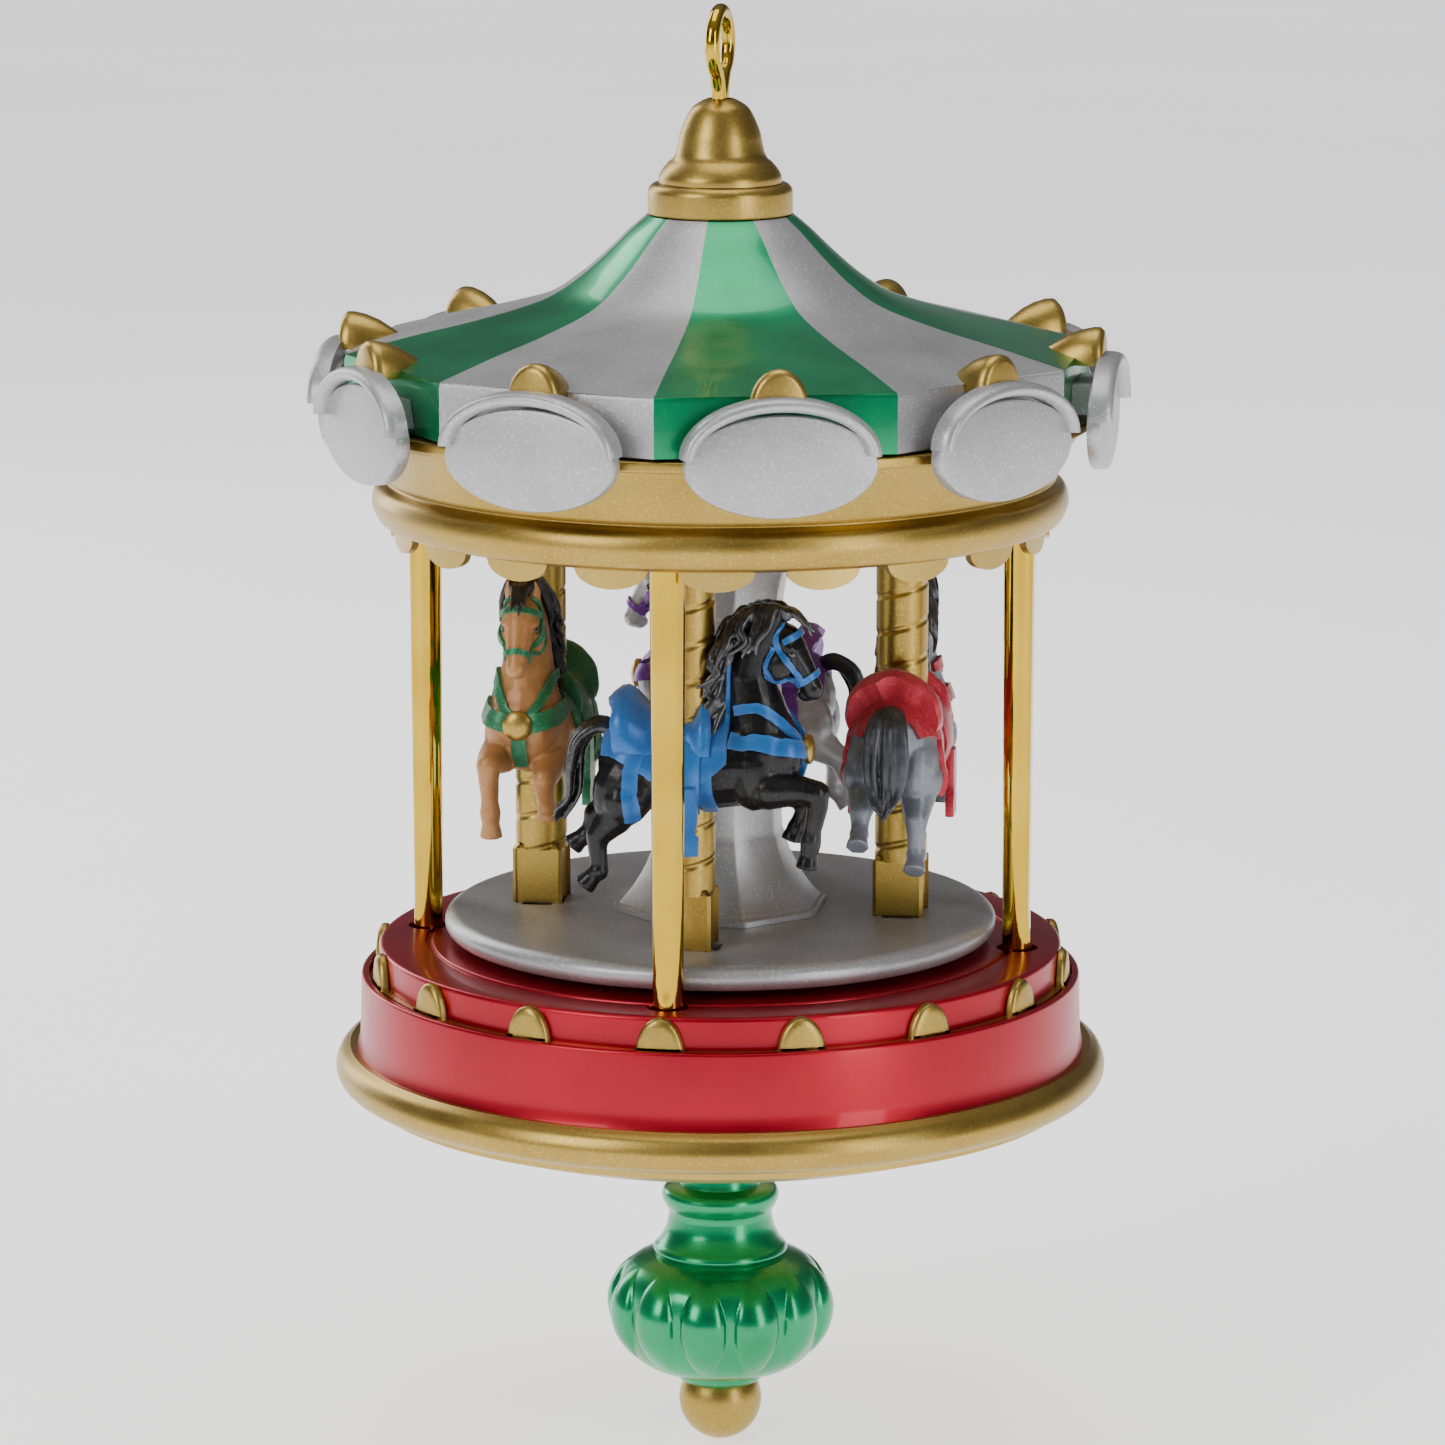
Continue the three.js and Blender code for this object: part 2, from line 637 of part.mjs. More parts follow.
// The bedplate with the seat of the comb and the two bearings of the tune cylinder.
function movementBedplate() {
  const plate = ring([
    [barrelHole, bedplate.lift], [bedRadius, bedplate.lift], [bedRadius, bedTop], [barrelHole, bedTop],
  ], sides.large);
  const bearing = (start) => block(
    [start, -tune.pivot * 3, bedTop - bedplate.thickness / 2],
    [start + tune.bearing, tune.pivot * 3, tuneHeight + tune.pivot * 2.5],
  );
  const seat = block(
    [tuneStart + tune.bearing, -combTip - comb.toothLength - comb.plate, bedTop - bedplate.thickness / 2],
    [tuneEnd, -combTip - comb.toothLength, combBottom - fit.seat],
  );
  const pivotHole = rod(tune.pivot + fit.spindle, 0, bedRadius * 2)
    .rotateY(Math.PI / 2)
    .translate(0, 0, tuneHeight);
  const spindleHole = rod(governor.spindle + fit.spindle, -1, bedTop + 1).translate(-governorCircle, 0, 0);
  const screwHoles = combScrewPlaces().map(([x, y]) => {
    const hole = rod(combScrew.shank + fit.seat, combBottom - combScrew.depth - fit.seat, combBottom + 1);
    return hole.translate(x, y, 0);
  });
  const body = join(plate, bearing(tuneStart), bearing(tuneEnd), seat);
  return cut(body, pivotHole, spindleHole, ...screwHoles);
}

function combScrewPlaces() {
  const y = -combTip - comb.toothLength - comb.plate / 2;
  return [[tuneStart + tune.bearing + combScrew.inset, y], [tuneEnd - combScrew.inset, y]];
}

// The spring barrel: the can hangs through the bedplate and its toothed rim drives the train.
// A gap between two teeth lies on +X and another on -X.
function springBarrel() {
  const bore = arbor.radius + fit.seat;
  const body = turned([
    [0, gearTop + barrel.boreRise],
    [bore, gearTop + barrel.boreRise],
    [bore, barrelBottom],
    [canRadius, barrelBottom],
    [canRadius, gearTop - barrel.lidStep],
    [barrel.boss, gearTop - barrel.lidStep],
    [barrel.boss, barrelTop],
    [0, barrelTop],
  ], sides.middle);
  const firstTooth = Math.PI / gear.barrelTeeth;
  const toothed = wheel(gear.barrelTeeth, firstTooth, canRadius - 2);
  const rim = slab(toothed, gearBottom, barrel.gearThickness, 10);
  return join(body, rim);
}

// The tune cylinder lies along +X; a tooth of its pinion points down into the barrel's rim.
function pinnedCylinder() {
  const start = tuneStart + tune.bearing + fit.seat;
  const end = tuneEnd - fit.seat;
  const pinion = slab(wheel(gear.pinionTeeth, 0), gearRadius - tune.pinionWidth / 2, tune.pinionWidth);
  const body = turned([
    [0, gearRadius - tune.pinionWidth],
    [tune.pivot, gearRadius - tune.pinionWidth],
    [tune.pivot, start],
    [tune.radius, start],
    [tune.radius, end],
    [tune.pivot, end],
    [tune.pivot, tuneEnd + tune.bearing + fit.seat],
    [0, tuneEnd + tune.bearing + fit.seat],
  ], sides.middle);
  const goldenTurn = Math.PI * (3 - Math.sqrt(5));
  const pins = [];
  for (let i = 0; i < tune.pins; i++) {
    const along = start + 1 + (end - start - 2) * (i % comb.teeth) / (comb.teeth - 1);
    const half = tune.pinWidth / 2;
    const pin = block([tune.radius - 0.5, -half, along - half], [tune.radius + tune.pin, half, along + half]);
    pins.push(pin.rotateZ(i * goldenTurn));
  }
  return join(body, pinion, ...pins).rotateY(Math.PI / 2).translate(0, 0, tuneHeight);
}

function musicComb() {
  const start = tuneStart + tune.bearing;
  const back = -combTip - comb.toothLength - comb.plate;
  const root = -combTip - comb.toothLength;
  const span = tuneEnd - start;
  const pitch = (span - comb.toothWidth) / comb.teeth;
  const shape = new THREE.Shape();
  shape.moveTo(start, back);
  shape.lineTo(tuneEnd, back);
  shape.lineTo(tuneEnd, root);
  for (let i = comb.teeth - 1; i >= 0; i--) {
    const left = start + pitch * (i + 0.5);
    shape.lineTo(left + comb.toothWidth, root);
    shape.lineTo(left + comb.toothWidth, -combTip);
    shape.lineTo(left, -combTip);
    shape.lineTo(left, root);
  }
  shape.lineTo(start, root);
  for (const [x, y] of combScrewPlaces()) {
    shape.holes.push(new THREE.Path().absarc(x, y, combScrew.shank + fit.seat, 0, 2 * Math.PI, true));
  }
  return slab(shape, combBottom, comb.thickness);
}

function combScrewShape() {
  const under = combBottom + comb.thickness + fit.seat;
  return turned([
    [0, combBottom - combScrew.depth],
    [combScrew.shank, combBottom - combScrew.depth],
    [combScrew.shank, under],
    [combScrew.head, under],
    [combScrew.head, under + combScrew.headHeight],
    [0, under + combScrew.headHeight],
  ], sides.small);
}

// The air brake: a pinion, a spindle and a two-bladed fan that clears its own frame.
function governorFan() {
  const pinion = slab(wheel(gear.pinionTeeth, 0), gearBottom + fit.seat, barrel.gearThickness - 2 * fit.seat);
  const spindle = rod(governor.spindle, bedplate.lift + fit.seat, governorTop() - fit.seat);
  const half = governor.fanThickness / 2;
  const fanBottom = gearTop + fit.running;
  const fanTop = fanBottom + governor.fanHeight;
  const fan = block([-governor.fanRadius, -half, fanBottom], [governor.fanRadius, half, fanTop]);
  return join(pinion, spindle, fan).translate(-governorCircle, 0, 0);
}

function governorTop() {
  return gearTop + governor.fanHeight + 2 * fit.running + governor.arm;
}

function governorFrame() {
  const near = -governorCircle - governor.fanRadius - fit.running;
  const far = near - governor.post;
  const width = governor.post;
  const post = block([far, -width, bedTop + fit.seat], [near, width, governorTop()]);
  const arm = block(
    [far, -width, governorTop() - governor.arm],
    [-governorCircle + governor.post, width, governorTop()],
  );
  const hole = rod(governor.spindle + fit.spindle, 0, governorTop() + 1).translate(-governorCircle, 0, 0);
  return cut(join(post, arm), hole);
}

// ---------------------------------------------------------------- the winding knob

// Under the stem follow a small ring, a waist, and the melon with its raised lobes.
function windingKnob() {
  const bore = arbor.radius + fit.seat;
  const boreBottom = knobTop - arbor.depthInKnob - fit.seat;
  const stemBottom = knobTop - knob.stemLength;
  const geometry = turned([
    [0, boreBottom],
    [bore, boreBottom],
    [bore, knobTop],
    [knob.stemRadius, knobTop],
    ...knobOutline.map(([radius, height]) => [radius, stemBottom + height]),
    [0, stemBottom + knobOutline.at(-1)[1]],
  ], 2 * knob.lobes);
  const melonTop = stemBottom - knob.melonTop;
  const melonBottom = stemBottom - knob.melonBottom;
  const at = geometry.attributes.position;
  for (let i = 0; i < at.count; i++) {
    const share = (melonTop - at.getZ(i)) / (melonTop - melonBottom);
    const radius = Math.hypot(at.getX(i), at.getY(i));
    if (share >= 0 && share <= 1 && radius > bore + 1) {
      const turn = Math.atan2(at.getX(i), -at.getY(i));
      const hollow = Math.abs(Math.sin(turn * knob.lobes / 2)) * Math.sin(Math.PI * share);
      const shrink = 1 - knob.lobeDepth * hollow / radius;
      at.setXY(i, at.getX(i) * shrink, at.getY(i) * shrink);
    }
  }
  const socket = new THREE.SphereGeometry(ball.radius + fit.seat, sides.middle, 10)
    .rotateX(Math.PI / 2)
    .translate(0, 0, ballCentre());
  const shankHole = rod(ball.shank + fit.seat, ballCentre(), ballShankTop() + fit.seat);
  return cut(geometry, socket, shankHole);
}

function ballCentre() {
  return knobTop - knob.stemLength - ball.drop;
}

function ballShankTop() {
  return ballCentre() + ball.shankLength;
}

function knobBall() {
  const sphere = new THREE.SphereGeometry(ball.radius, sides.middle, 10)
    .rotateX(Math.PI / 2)
    .translate(0, 0, ballCentre());
  return join(sphere, rod(ball.shank, ballCentre(), ballShankTop()));
}

// ---------------------------------------------------------------- putting it together

add(frame, "base_drum", baseDrum(), candyRed);
add(frame, "base_flange", baseFlange(), gold);
add(frame, "base_stud_ring", baseStudRing(), gold);
add(frame, "bottom_cover", bottomCover(), steel);
around(column.count, 0, (i, turn) => add(frame, `column_${i + 1}`, columnShape(), gold, turn));
add(frame, "cornice_band", corniceBand(), gold);
add(frame, "scalloped_valance", scallopedValance(), gold);
add(frame, "canopy_roof", canopyRoof(), candyGreen);
around(roof.sides, Math.PI / roof.sides, (i, turn) => {
  const number = String(i + 1).padStart(2, "0");
  add(frame, `medallion_${number}`, medallionShape(), silver, turn);
  add(frame, `roof_stud_${number}`, roofStudShape(), gold, turn);
});
add(frame, "roof_collar", roofCollar(), gold);
add(frame, "roof_cap", roofCap(), satinGold);
add(frame, "hanging_eye", hangingEye(), gold);
add(frame, "movement_bedplate", movementBedplate(), steel);
add(frame, "music_comb", musicComb(), steel);
combScrewPlaces().forEach(([x, y], i) => {
  add(frame, `comb_screw_${i + 1}`, combScrewShape().translate(x, y, 0), steel);
});
add(frame, "pinned_cylinder", pinnedCylinder(), brass);
add(frame, "governor_frame", governorFrame(), brass);
add(frame, "governor_fan", governorFan(), steel);
add(frame, "winding_arbor", rod(arbor.radius, knobTop - arbor.depthInKnob, gearTop + 1 - fit.seat), steel);
add(frame, "winding_knob", windingKnob(), candyGreen);
add(frame, "knob_ball", knobBall(), gold);

add(turntable, "spring_barrel", springBarrel(), brass);
add(turntable, "drive_shaft", rod(shaft.radius, barrelTop + fit.seat, platformTop, sides.middle), steel);
add(turntable, "turntable_platform", turntablePlatform(), silver);
add(turntable, "hub_column", hubColumn(), silver);
add(turntable, "ceiling_plate", ceilingPlate(), satinGold);
around(column.count, 0, (i, turn) => {
  add(turntable, `pole_${i + 1}`, horsePole(), gold, turn);
  add(turntable, `horse_${i + 1}`, horse(), horseColours[i], turn);
});

export default group;
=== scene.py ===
"""The looks of a hanging carousel music box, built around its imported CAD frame.

Shapes are worked out in millimetres in the frame's own axes and scaled to metres when a mesh is
made. Every visible CAD node is replaced by a smooth piece that keeps its size and place; the
hidden movement keeps its CAD solids and gets materials only.
"""

import math
import random

import bmesh
import bpy
from mathutils import Matrix, Vector
from mathutils.bvhtree import BVHTree


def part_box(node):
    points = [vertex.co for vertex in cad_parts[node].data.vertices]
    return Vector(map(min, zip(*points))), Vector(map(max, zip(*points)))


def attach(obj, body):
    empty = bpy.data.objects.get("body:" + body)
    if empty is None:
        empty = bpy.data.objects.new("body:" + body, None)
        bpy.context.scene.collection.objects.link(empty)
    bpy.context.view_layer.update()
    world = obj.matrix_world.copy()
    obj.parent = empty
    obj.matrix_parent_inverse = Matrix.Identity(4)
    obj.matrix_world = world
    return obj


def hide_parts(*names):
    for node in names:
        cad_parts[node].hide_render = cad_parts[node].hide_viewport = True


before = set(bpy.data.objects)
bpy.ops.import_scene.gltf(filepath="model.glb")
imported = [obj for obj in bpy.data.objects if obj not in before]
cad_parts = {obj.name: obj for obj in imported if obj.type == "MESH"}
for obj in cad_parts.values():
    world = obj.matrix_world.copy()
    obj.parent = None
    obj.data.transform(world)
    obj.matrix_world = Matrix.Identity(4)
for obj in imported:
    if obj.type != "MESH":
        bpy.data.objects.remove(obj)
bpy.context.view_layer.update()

MM = 0.001
SEGMENTS = 160          # around the large turned pieces
QUARTERS = range(4)     # four columns, poles and horses
SQUARE = ((-1, -1), (1, -1), (1, 1), (-1, 1))


# ---------------------------------------------------------------- sizes read from the frame

def low(node):
    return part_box(node)[0] / MM


def high(node):
    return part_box(node)[1] / MM


FLANGE_BOTTOM = low("base_flange").z
FLANGE_TOP = high("base_flange").z
FLANGE_RADIUS = high("base_flange").x
DRUM_BOTTOM = low("base_drum").z
DRUM_FOOT = high("base_drum").x
PLINTH_RADIUS = DRUM_FOOT - 3.35
PLINTH_TOP = high("base_drum").z
PLATFORM_BOTTOM = low("turntable_platform").z
PLATFORM_TOP = high("turntable_platform").z
PLATFORM_RADIUS = high("turntable_platform").x
POLE_CIRCLE = -(low("pole_1").y + high("pole_1").y) / 2
POLE_TOP = high("pole_1").z
COLUMN_CIRCLE = -(low("column_1").y + high("column_1").y) / 2
COLUMN_TOP = high("column_1").z
CORNICE_TOP = high("cornice_band").z
CORNICE_RADIUS = high("cornice_band").x
VALANCE_TOP = high("scalloped_valance").z
VALANCE_BOTTOM = low("scalloped_valance").z
VALANCE_RADIUS = high("scalloped_valance").x
ROOF_BOTTOM = low("canopy_roof").z
ROOF_TOP = high("canopy_roof").z
ROOF_RADIUS = high("canopy_roof").y
ROOF_SIDES = 10
FACE_DISTANCE = ROOF_RADIUS * math.cos(math.pi / ROOF_SIDES)
COLLAR_BOTTOM = low("roof_collar").z
COLLAR_TOP = high("roof_collar").z
COLLAR_RADIUS = high("roof_collar").x
CAP_BOTTOM = low("roof_cap").z
CAP_TOP = high("roof_cap").z
EYE_TOP = high("hanging_eye").z
KNOB_TOP = high("winding_knob").z
BALL_BOTTOM = low("knob_ball").z


# ---------------------------------------------------------------- materials

def shader(name, metallic=0.0, roughness=0.5, coat=0.0, coat_roughness=0.05, sheen=0.0):
    """A new material with its nodes, links and principled surface."""
    made = bpy.data.materials.new(name)
    made.use_nodes = True
    nodes = made.node_tree.nodes
    surface = nodes["Principled BSDF"]
    surface.inputs["Metallic"].default_value = metallic
    surface.inputs["Roughness"].default_value = roughness
    surface.inputs["Coat Weight"].default_value = coat
    surface.inputs["Coat Roughness"].default_value = coat_roughness
    surface.inputs["Sheen Weight"].default_value = sheen
    return made, nodes, made.node_tree.links, surface


def noise_node(nodes, links, scale, detail=3.0, stretch=(1, 1, 1)):
    """Noise in object space; the scale counts features to the metre."""
    place = nodes.new("ShaderNodeTexCoord")
    mapping = nodes.new("ShaderNodeMapping")
    mapping.inputs["Scale"].default_value = stretch
    texture = nodes.new("ShaderNodeTexNoise")
    texture.inputs["Scale"].default_value = scale
    texture.inputs["Detail"].default_value = detail
    links.new(place.outputs["Object"], mapping.inputs["Vector"])
    links.new(mapping.outputs["Vector"], texture.inputs["Vector"])
    return texture


def ramp_node(nodes, links, source, stops):
    """A colour ramp through (position, colour) stops."""
    ramp = nodes.new("ShaderNodeValToRGB")
    ramp.color_ramp.elements[0].position, colour = stops[0]
    ramp.color_ramp.elements[0].color = (*colour, 1)
    ramp.color_ramp.elements[1].position, colour = stops[-1]
    ramp.color_ramp.elements[1].color = (*colour, 1)
    for position, colour in stops[1:-1]:
        ramp.color_ramp.elements.new(position).color = (*colour, 1)
    links.new(source, ramp.inputs["Fac"])
    return ramp


def over(nodes, links, under, top, mask, start, end, amount):
    """A colour laid over another where the mask rises from start to end."""
    share = ramp_node(nodes, links, mask, [(start, (0, 0, 0)), (end, (amount,) * 3)])
    mix = nodes.new("ShaderNodeMix")
    mix.data_type = "RGBA"
    links.new(share.outputs["Color"], mix.inputs["Factor"])
    links.new(under, mix.inputs["A"])
    mix.inputs["B"].default_value = (*top, 1)
    return mix.outputs["Result"]


def finish(name, dark, light, metallic, roughness, patch=140, grain=3500, bump=0.05,
           coat=0.0, flake=0.0, flake_colour=(1, 1, 1), sheen=0.0, edge_highlight=0.0, stretch=(1, 1, 1)):
    """A painted or plated surface: slow patches of colour, fine grain, flakes and a painted highlight that
    lightens convex edges.
    """
    made, nodes, links, surface = shader(name, metallic, roughness, coat, sheen=sheen)
    patches = noise_node(nodes, links, patch, 4, stretch)
    colour = ramp_node(nodes, links, patches.outputs["Fac"], [(0.3, dark), (0.7, light)]).outputs["Color"]
    fine = noise_node(nodes, links, grain, 2, stretch)
    if flake:
        colour = over(nodes, links, colour, flake_colour, fine.outputs["Fac"], 0.55, 0.72, flake)
    # Painted highlight: a lighter copy of the colour laid on convex edges, by pointiness.
    if edge_highlight:
        highlight_colour = [min(1, 1.5 * c + 0.05) for c in light]
        edges = nodes.new("ShaderNodeNewGeometry").outputs["Pointiness"]
        colour = over(nodes, links, colour, highlight_colour, edges, 0.51, 0.6, edge_highlight)
    links.new(colour, surface.inputs["Base Color"])
    gloss = nodes.new("ShaderNodeMapRange")
    gloss.inputs["To Min"].default_value = roughness * 0.8
    gloss.inputs["To Max"].default_value = min(1, roughness * 1.25)
    links.new(patches.outputs["Fac"], gloss.inputs["Value"])
    links.new(gloss.outputs["Result"], surface.inputs["Roughness"])
    relief = nodes.new("ShaderNodeBump")
    relief.inputs["Strength"].default_value = bump
    relief.inputs["Distance"].default_value = 0.05 * MM
    links.new(fine.outputs["Fac"], relief.inputs["Height"])
    links.new(relief.outputs["Normal"], surface.inputs["Normal"])
    return made


GOLD = finish("satin_gold_paint", (0.36, 0.235, 0.05), (0.43, 0.29, 0.068), 0.95, 0.34,
              bump=0.25, flake=0.3, flake_colour=(0.8, 0.58, 0.2), edge_highlight=0.35)
CHROME_GOLD = finish("polished_gold_plate", (0.52, 0.32, 0.025), (0.62, 0.40, 0.04), 1.0, 0.09, bump=0.02)
SILVER = finish("grained_silver_paint", (0.40, 0.40, 0.405), (0.47, 0.47, 0.475), 0.6, 0.38,
                bump=0.45, flake=0.6, flake_colour=(0.75, 0.75, 0.76))
RED = finish("candy_red_lacquer", (0.36, 0.0, 0.012), (0.43, 0.0, 0.016), 0.7, 0.34,
             bump=0.03, coat=0.2, flake=0.06, flake_colour=(0.8, 0.01, 0.03))
GREEN = finish("candy_green_lacquer", (0.0, 0.27, 0.10), (0.0, 0.36, 0.14), 0.75, 0.28,
               bump=0.05, coat=0.35, flake=0.25, flake_colour=(0.0, 0.5, 0.2))
STEEL = finish("brushed_movement_steel", (0.42, 0.42, 0.44), (0.55, 0.55, 0.57), 1.0, 0.35,
               bump=0.15, stretch=(1, 8, 1))
BRASS = finish("movement_brass", (0.55, 0.42, 0.16), (0.66, 0.52, 0.22), 1.0, 0.3, bump=0.1)

COATS = [
    finish("coat_charcoal", (0.01, 0.01, 0.011), (0.024, 0.023, 0.024), 0.6, 0.27, patch=260,
           bump=0.12, flake=0.12, flake_colour=(0.18, 0.17, 0.17), edge_highlight=0.3),
    finish("coat_blue_grey", (0.16, 0.18, 0.21), (0.24, 0.26, 0.30), 0.3, 0.38, patch=260,
           bump=0.15, flake=0.2, flake_colour=(0.5, 0.52, 0.56), edge_highlight=0.3),
    finish("coat_light_grey", (0.42, 0.42, 0.44), (0.55, 0.55, 0.57), 0.25, 0.38, patch=260,
           bump=0.15, flake=0.2, edge_highlight=0.2),
    finish("coat_tan", (0.38, 0.16, 0.045), (0.5, 0.24, 0.08), 0.15, 0.4, patch=260,
           bump=0.15, flake=0.15, flake_colour=(0.85, 0.55, 0.28), edge_highlight=0.2),
]
# The last number of each hair is the strength of its painted edge highlight.
HAIR = [
    finish(f"hair_{name}", dark, light, metallic, roughness, patch=900, bump=0.3, edge_highlight=edge_highlight)
    for name, dark, light, metallic, roughness, edge_highlight in (
        ("silver_black", (0.015, 0.015, 0.017), (0.08, 0.08, 0.085), 0.7, 0.25, 0.9),
        ("dark_grey", (0.03, 0.033, 0.04), (0.07, 0.075, 0.085), 0.4, 0.33, 0.5),
        ("black", (0.012, 0.012, 0.014), (0.035, 0.035, 0.04), 0.4, 0.32, 0.4),
        ("black_tan_horse", (0.012, 0.011, 0.012), (0.03, 0.028, 0.03), 0.4, 0.32, 0.4))
]
TACK = [
    finish(f"tack_{name}", dark, light, 0.25, roughness, bump=bump, flake=flake, flake_colour=flakes,
           sheen=0.2, edge_highlight=0.3)
    for name, dark, light, roughness, bump, flake, flakes in (
        ("blue", (0.005, 0.085, 0.32), (0.01, 0.14, 0.44), 0.36, 0.3, 0.15, (0.12, 0.38, 0.8)),
        ("red", (0.36, 0.004, 0.018), (0.48, 0.01, 0.03), 0.34, 0.5, 0.3, (0.9, 0.2, 0.22)),
        ("purple", (0.12, 0.01, 0.24), (0.19, 0.03, 0.34), 0.36, 0.5, 0.3, (0.55, 0.35, 0.75)),
        ("green", (0.0, 0.10, 0.035), (0.005, 0.17, 0.06), 0.36, 0.5, 0.3, (0.2, 0.6, 0.3)))
]
EYE = finish("glass_eye", (0.004, 0.004, 0.005), (0.012, 0.011, 0.01), 0.0, 0.08, bump=0.0, coat=1.0)


# ---------------------------------------------------------------- mesh helpers

def around(count):
    """Equal turns about a full circle, in radians."""
    return [2 * math.pi * k / count for k in range(count)]


def polar(reach, turn, z):
    """A point so far from the carousel's axis, turned from -Y."""
    return reach * math.sin(turn), -reach * math.cos(turn), z


def raised(corners, height, radius=0):
    """Profile corners (radius, height, rounding) given from a base height and radius."""
    return [(radius + r, height + z, *rounding) for r, z, *rounding in corners]


def gathered(parts):
    """One (points, faces) pair out of several."""
    points, faces = [], []
    for part_points, part_faces in parts:
        faces += [tuple(len(points) + k for k in face) for face in part_faces]
        points += part_points
    return points, faces


def catmull(points, steps):
    """A smooth line through the points, with so many steps to each stretch."""
    line = []
    last = len(points) - 1
    for i in range(last):
        p0, p1, p2, p3 = (Vector(points[max(0, min(last, i + k))]) for k in (-1, 0, 1, 2))
        for step in range(steps):
            t = step / steps
            line.append(0.5 * (2 * p1 + (p2 - p0) * t + (2 * p0 - 5 * p1 + 4 * p2 - p3) * t * t
                               + (3 * p1 - p0 - 3 * p2 + p3) * t ** 3))
    return [tuple(p) for p in line] + [tuple(points[-1])]


def rounded(corners, closed=True):
    """Rounds the corners of a profile of (radius, height, rounding); steps follow a parabola."""
    line = []
    count = len(corners)
    for i, (r, z, *extra) in enumerate(corners):
        here = Vector((r, z))
        size = extra[0] if extra else 0
        if not size or (not closed and i in (0, count - 1)):
            line.append((r, z))
            continue
        before = Vector(corners[i - 1][:2]) - here
        after = Vector(corners[(i + 1) % count][:2]) - here
        size = min(size, before.length * 0.45, after.length * 0.45)
        start = here + before.normalized() * size
        end = here + after.normalized() * size
        for step in range(5):
            t = step / 4
            line.append(tuple(start * (1 - t) ** 2 + here * 2 * t * (1 - t) + end * t * t))
    return line


def new_object(name, mesh, materials, sharp=35):
    """An object for a mesh, smooth but for edges sharper than an angle in degrees."""
    mesh.validate()
    mesh.shade_smooth()
    mesh.set_sharp_from_angle(angle=math.radians(sharp))
    for made in materials:
        mesh.materials.append(made)
    made = bpy.data.objects.new(name, mesh)
    bpy.context.scene.collection.objects.link(made)
    return made


def outward(mesh, weld=0.0):
    """Turns a mesh's faces outwards; points closer than weld millimetres become one."""
    work = bmesh.new()
    work.from_mesh(mesh)
    if weld:
        bmesh.ops.remove_doubles(work, verts=work.verts, dist=weld * MM)
    bmesh.ops.recalc_face_normals(work, faces=work.faces)
    work.to_mesh(mesh)
    work.free()
    return mesh


def mesh_from(name, points, faces):
    """A mesh from points in millimetres, its faces turned outwards."""
    mesh = bpy.data.meshes.new(name)
    mesh.from_pydata([tuple(Vector(p) * MM) for p in points], [], faces)
    return outward(mesh, 0.002)


def loft(rings, wrap=True, caps=True):
    """Points and faces between rings of equal length; wrap joins the last ring to the first."""
    size = len(rings[0])
    points = [p for ring in rings for p in ring]
    faces = []
    last = len(rings) if wrap else len(rings) - 1
    for i in range(last):
        a, b = i * size, (i + 1) % len(rings) * size
        for j in range(size):
            k = (j + 1) % size
            faces.append((a + j, a + k, b + k, b + j))
    if caps and not wrap:
        faces.append(tuple(range(size)))
        faces.append(tuple(range(len(points) - size, len(points))))
    return points, faces


def turned(name, profile, material, segments=SEGMENTS, shape=None, sharp=35):
    """Turns a closed (radius, height) profile about the axis; shape may change each point."""
    rings = []
    for r, z in profile:
        reaches = [shape(turn, r, z) if shape else (r, z) for turn in around(segments)]
        rings.append([polar(reach, turn, rise) for turn, (reach, rise) in zip(around(segments), reaches)])
    return new_object(name, mesh_from(name, *loft(rings)), [material], sharp)


def at_angle(obj, turn):
    """Turns a piece that was made on -Y about the carousel's axis."""
    obj.matrix_world = Matrix.Rotation(turn, 4, "Z")
    return obj


def baked(obj):
    """Puts the object's rotation and modifiers into its mesh."""
    bpy.context.view_layer.update()
    graph = bpy.context.evaluated_depsgraph_get()
    mesh = bpy.data.meshes.new_from_object(obj.evaluated_get(graph))
    mesh.transform(obj.matrix_world)
    obj.modifiers.clear()
    obj.data = mesh
    obj.matrix_world = Matrix.Identity(4)
    return obj


def cut_with(obj, cutters):
    """Cuts the cutters out of a piece and removes them."""
    for cutter in cutters:
        modifier = obj.modifiers.new("cut", "BOOLEAN")
        modifier.operation = "DIFFERENCE"
        modifier.solver = "EXACT"
        modifier.object = cutter
    baked(obj)
    for cutter in cutters:
        bpy.data.objects.remove(cutter)
    obj.data.shade_smooth()
    obj.data.set_sharp_from_angle(angle=math.radians(35))
    return obj


def prism(name, outline, bottom, top):
    """A closed prism on an outline of (x, y) corners."""
    rings = [[(x, y, z) for x, y in outline] for z in (bottom, top)]
    return new_object(name, mesh_from(name, *loft(rings, wrap=False)), [])


def circle(x, y, radius, count=32):
    """Corners (x, y) of a round outline."""
    return [(x + radius * math.cos(2 * math.pi * i / count), y + radius * math.sin(2 * math.pi * i / count))
            for i in range(count)]


def ellipse_arc(width, rise, base, start, end, count):
    """Points (x, z) on an ellipse whose middle lies on the height base; angles in degrees."""
    points = []
    for i in range(count + 1):
        turn = math.radians(start + (end - start) * i / count)
        points.append((width / 2 * math.cos(turn), base + rise * math.sin(turn)))
    return points


def plate_rings(outline, steps):
    """Rings of a plate that faces -Y; each step is (distance from the axis, inset)."""
    count = len(outline)
    inward = []
    for i in range(count):
        before, after = Vector(outline[i - 1]), Vector(outline[(i + 1) % count])
        along = (after - before).normalized()
        inward.append(Vector((-along.y, along.x)))
    rings = []
    for distance, inset in steps:
        ring = []
        for (x, z), normal in zip(outline, inward):
            ring.append((x + normal.x * inset, -distance, z + normal.y * inset))
        rings.append(ring)
    return rings


def settle(obj, body, slot, *nodes):
    """Says what a finished piece rides on and which CAD nodes it stands for; the slot argument is not used.
    """
    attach(obj, body)
    if nodes:
        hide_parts(*nodes)
    return obj


# ---------------------------------------------------------------- camera, light and floor

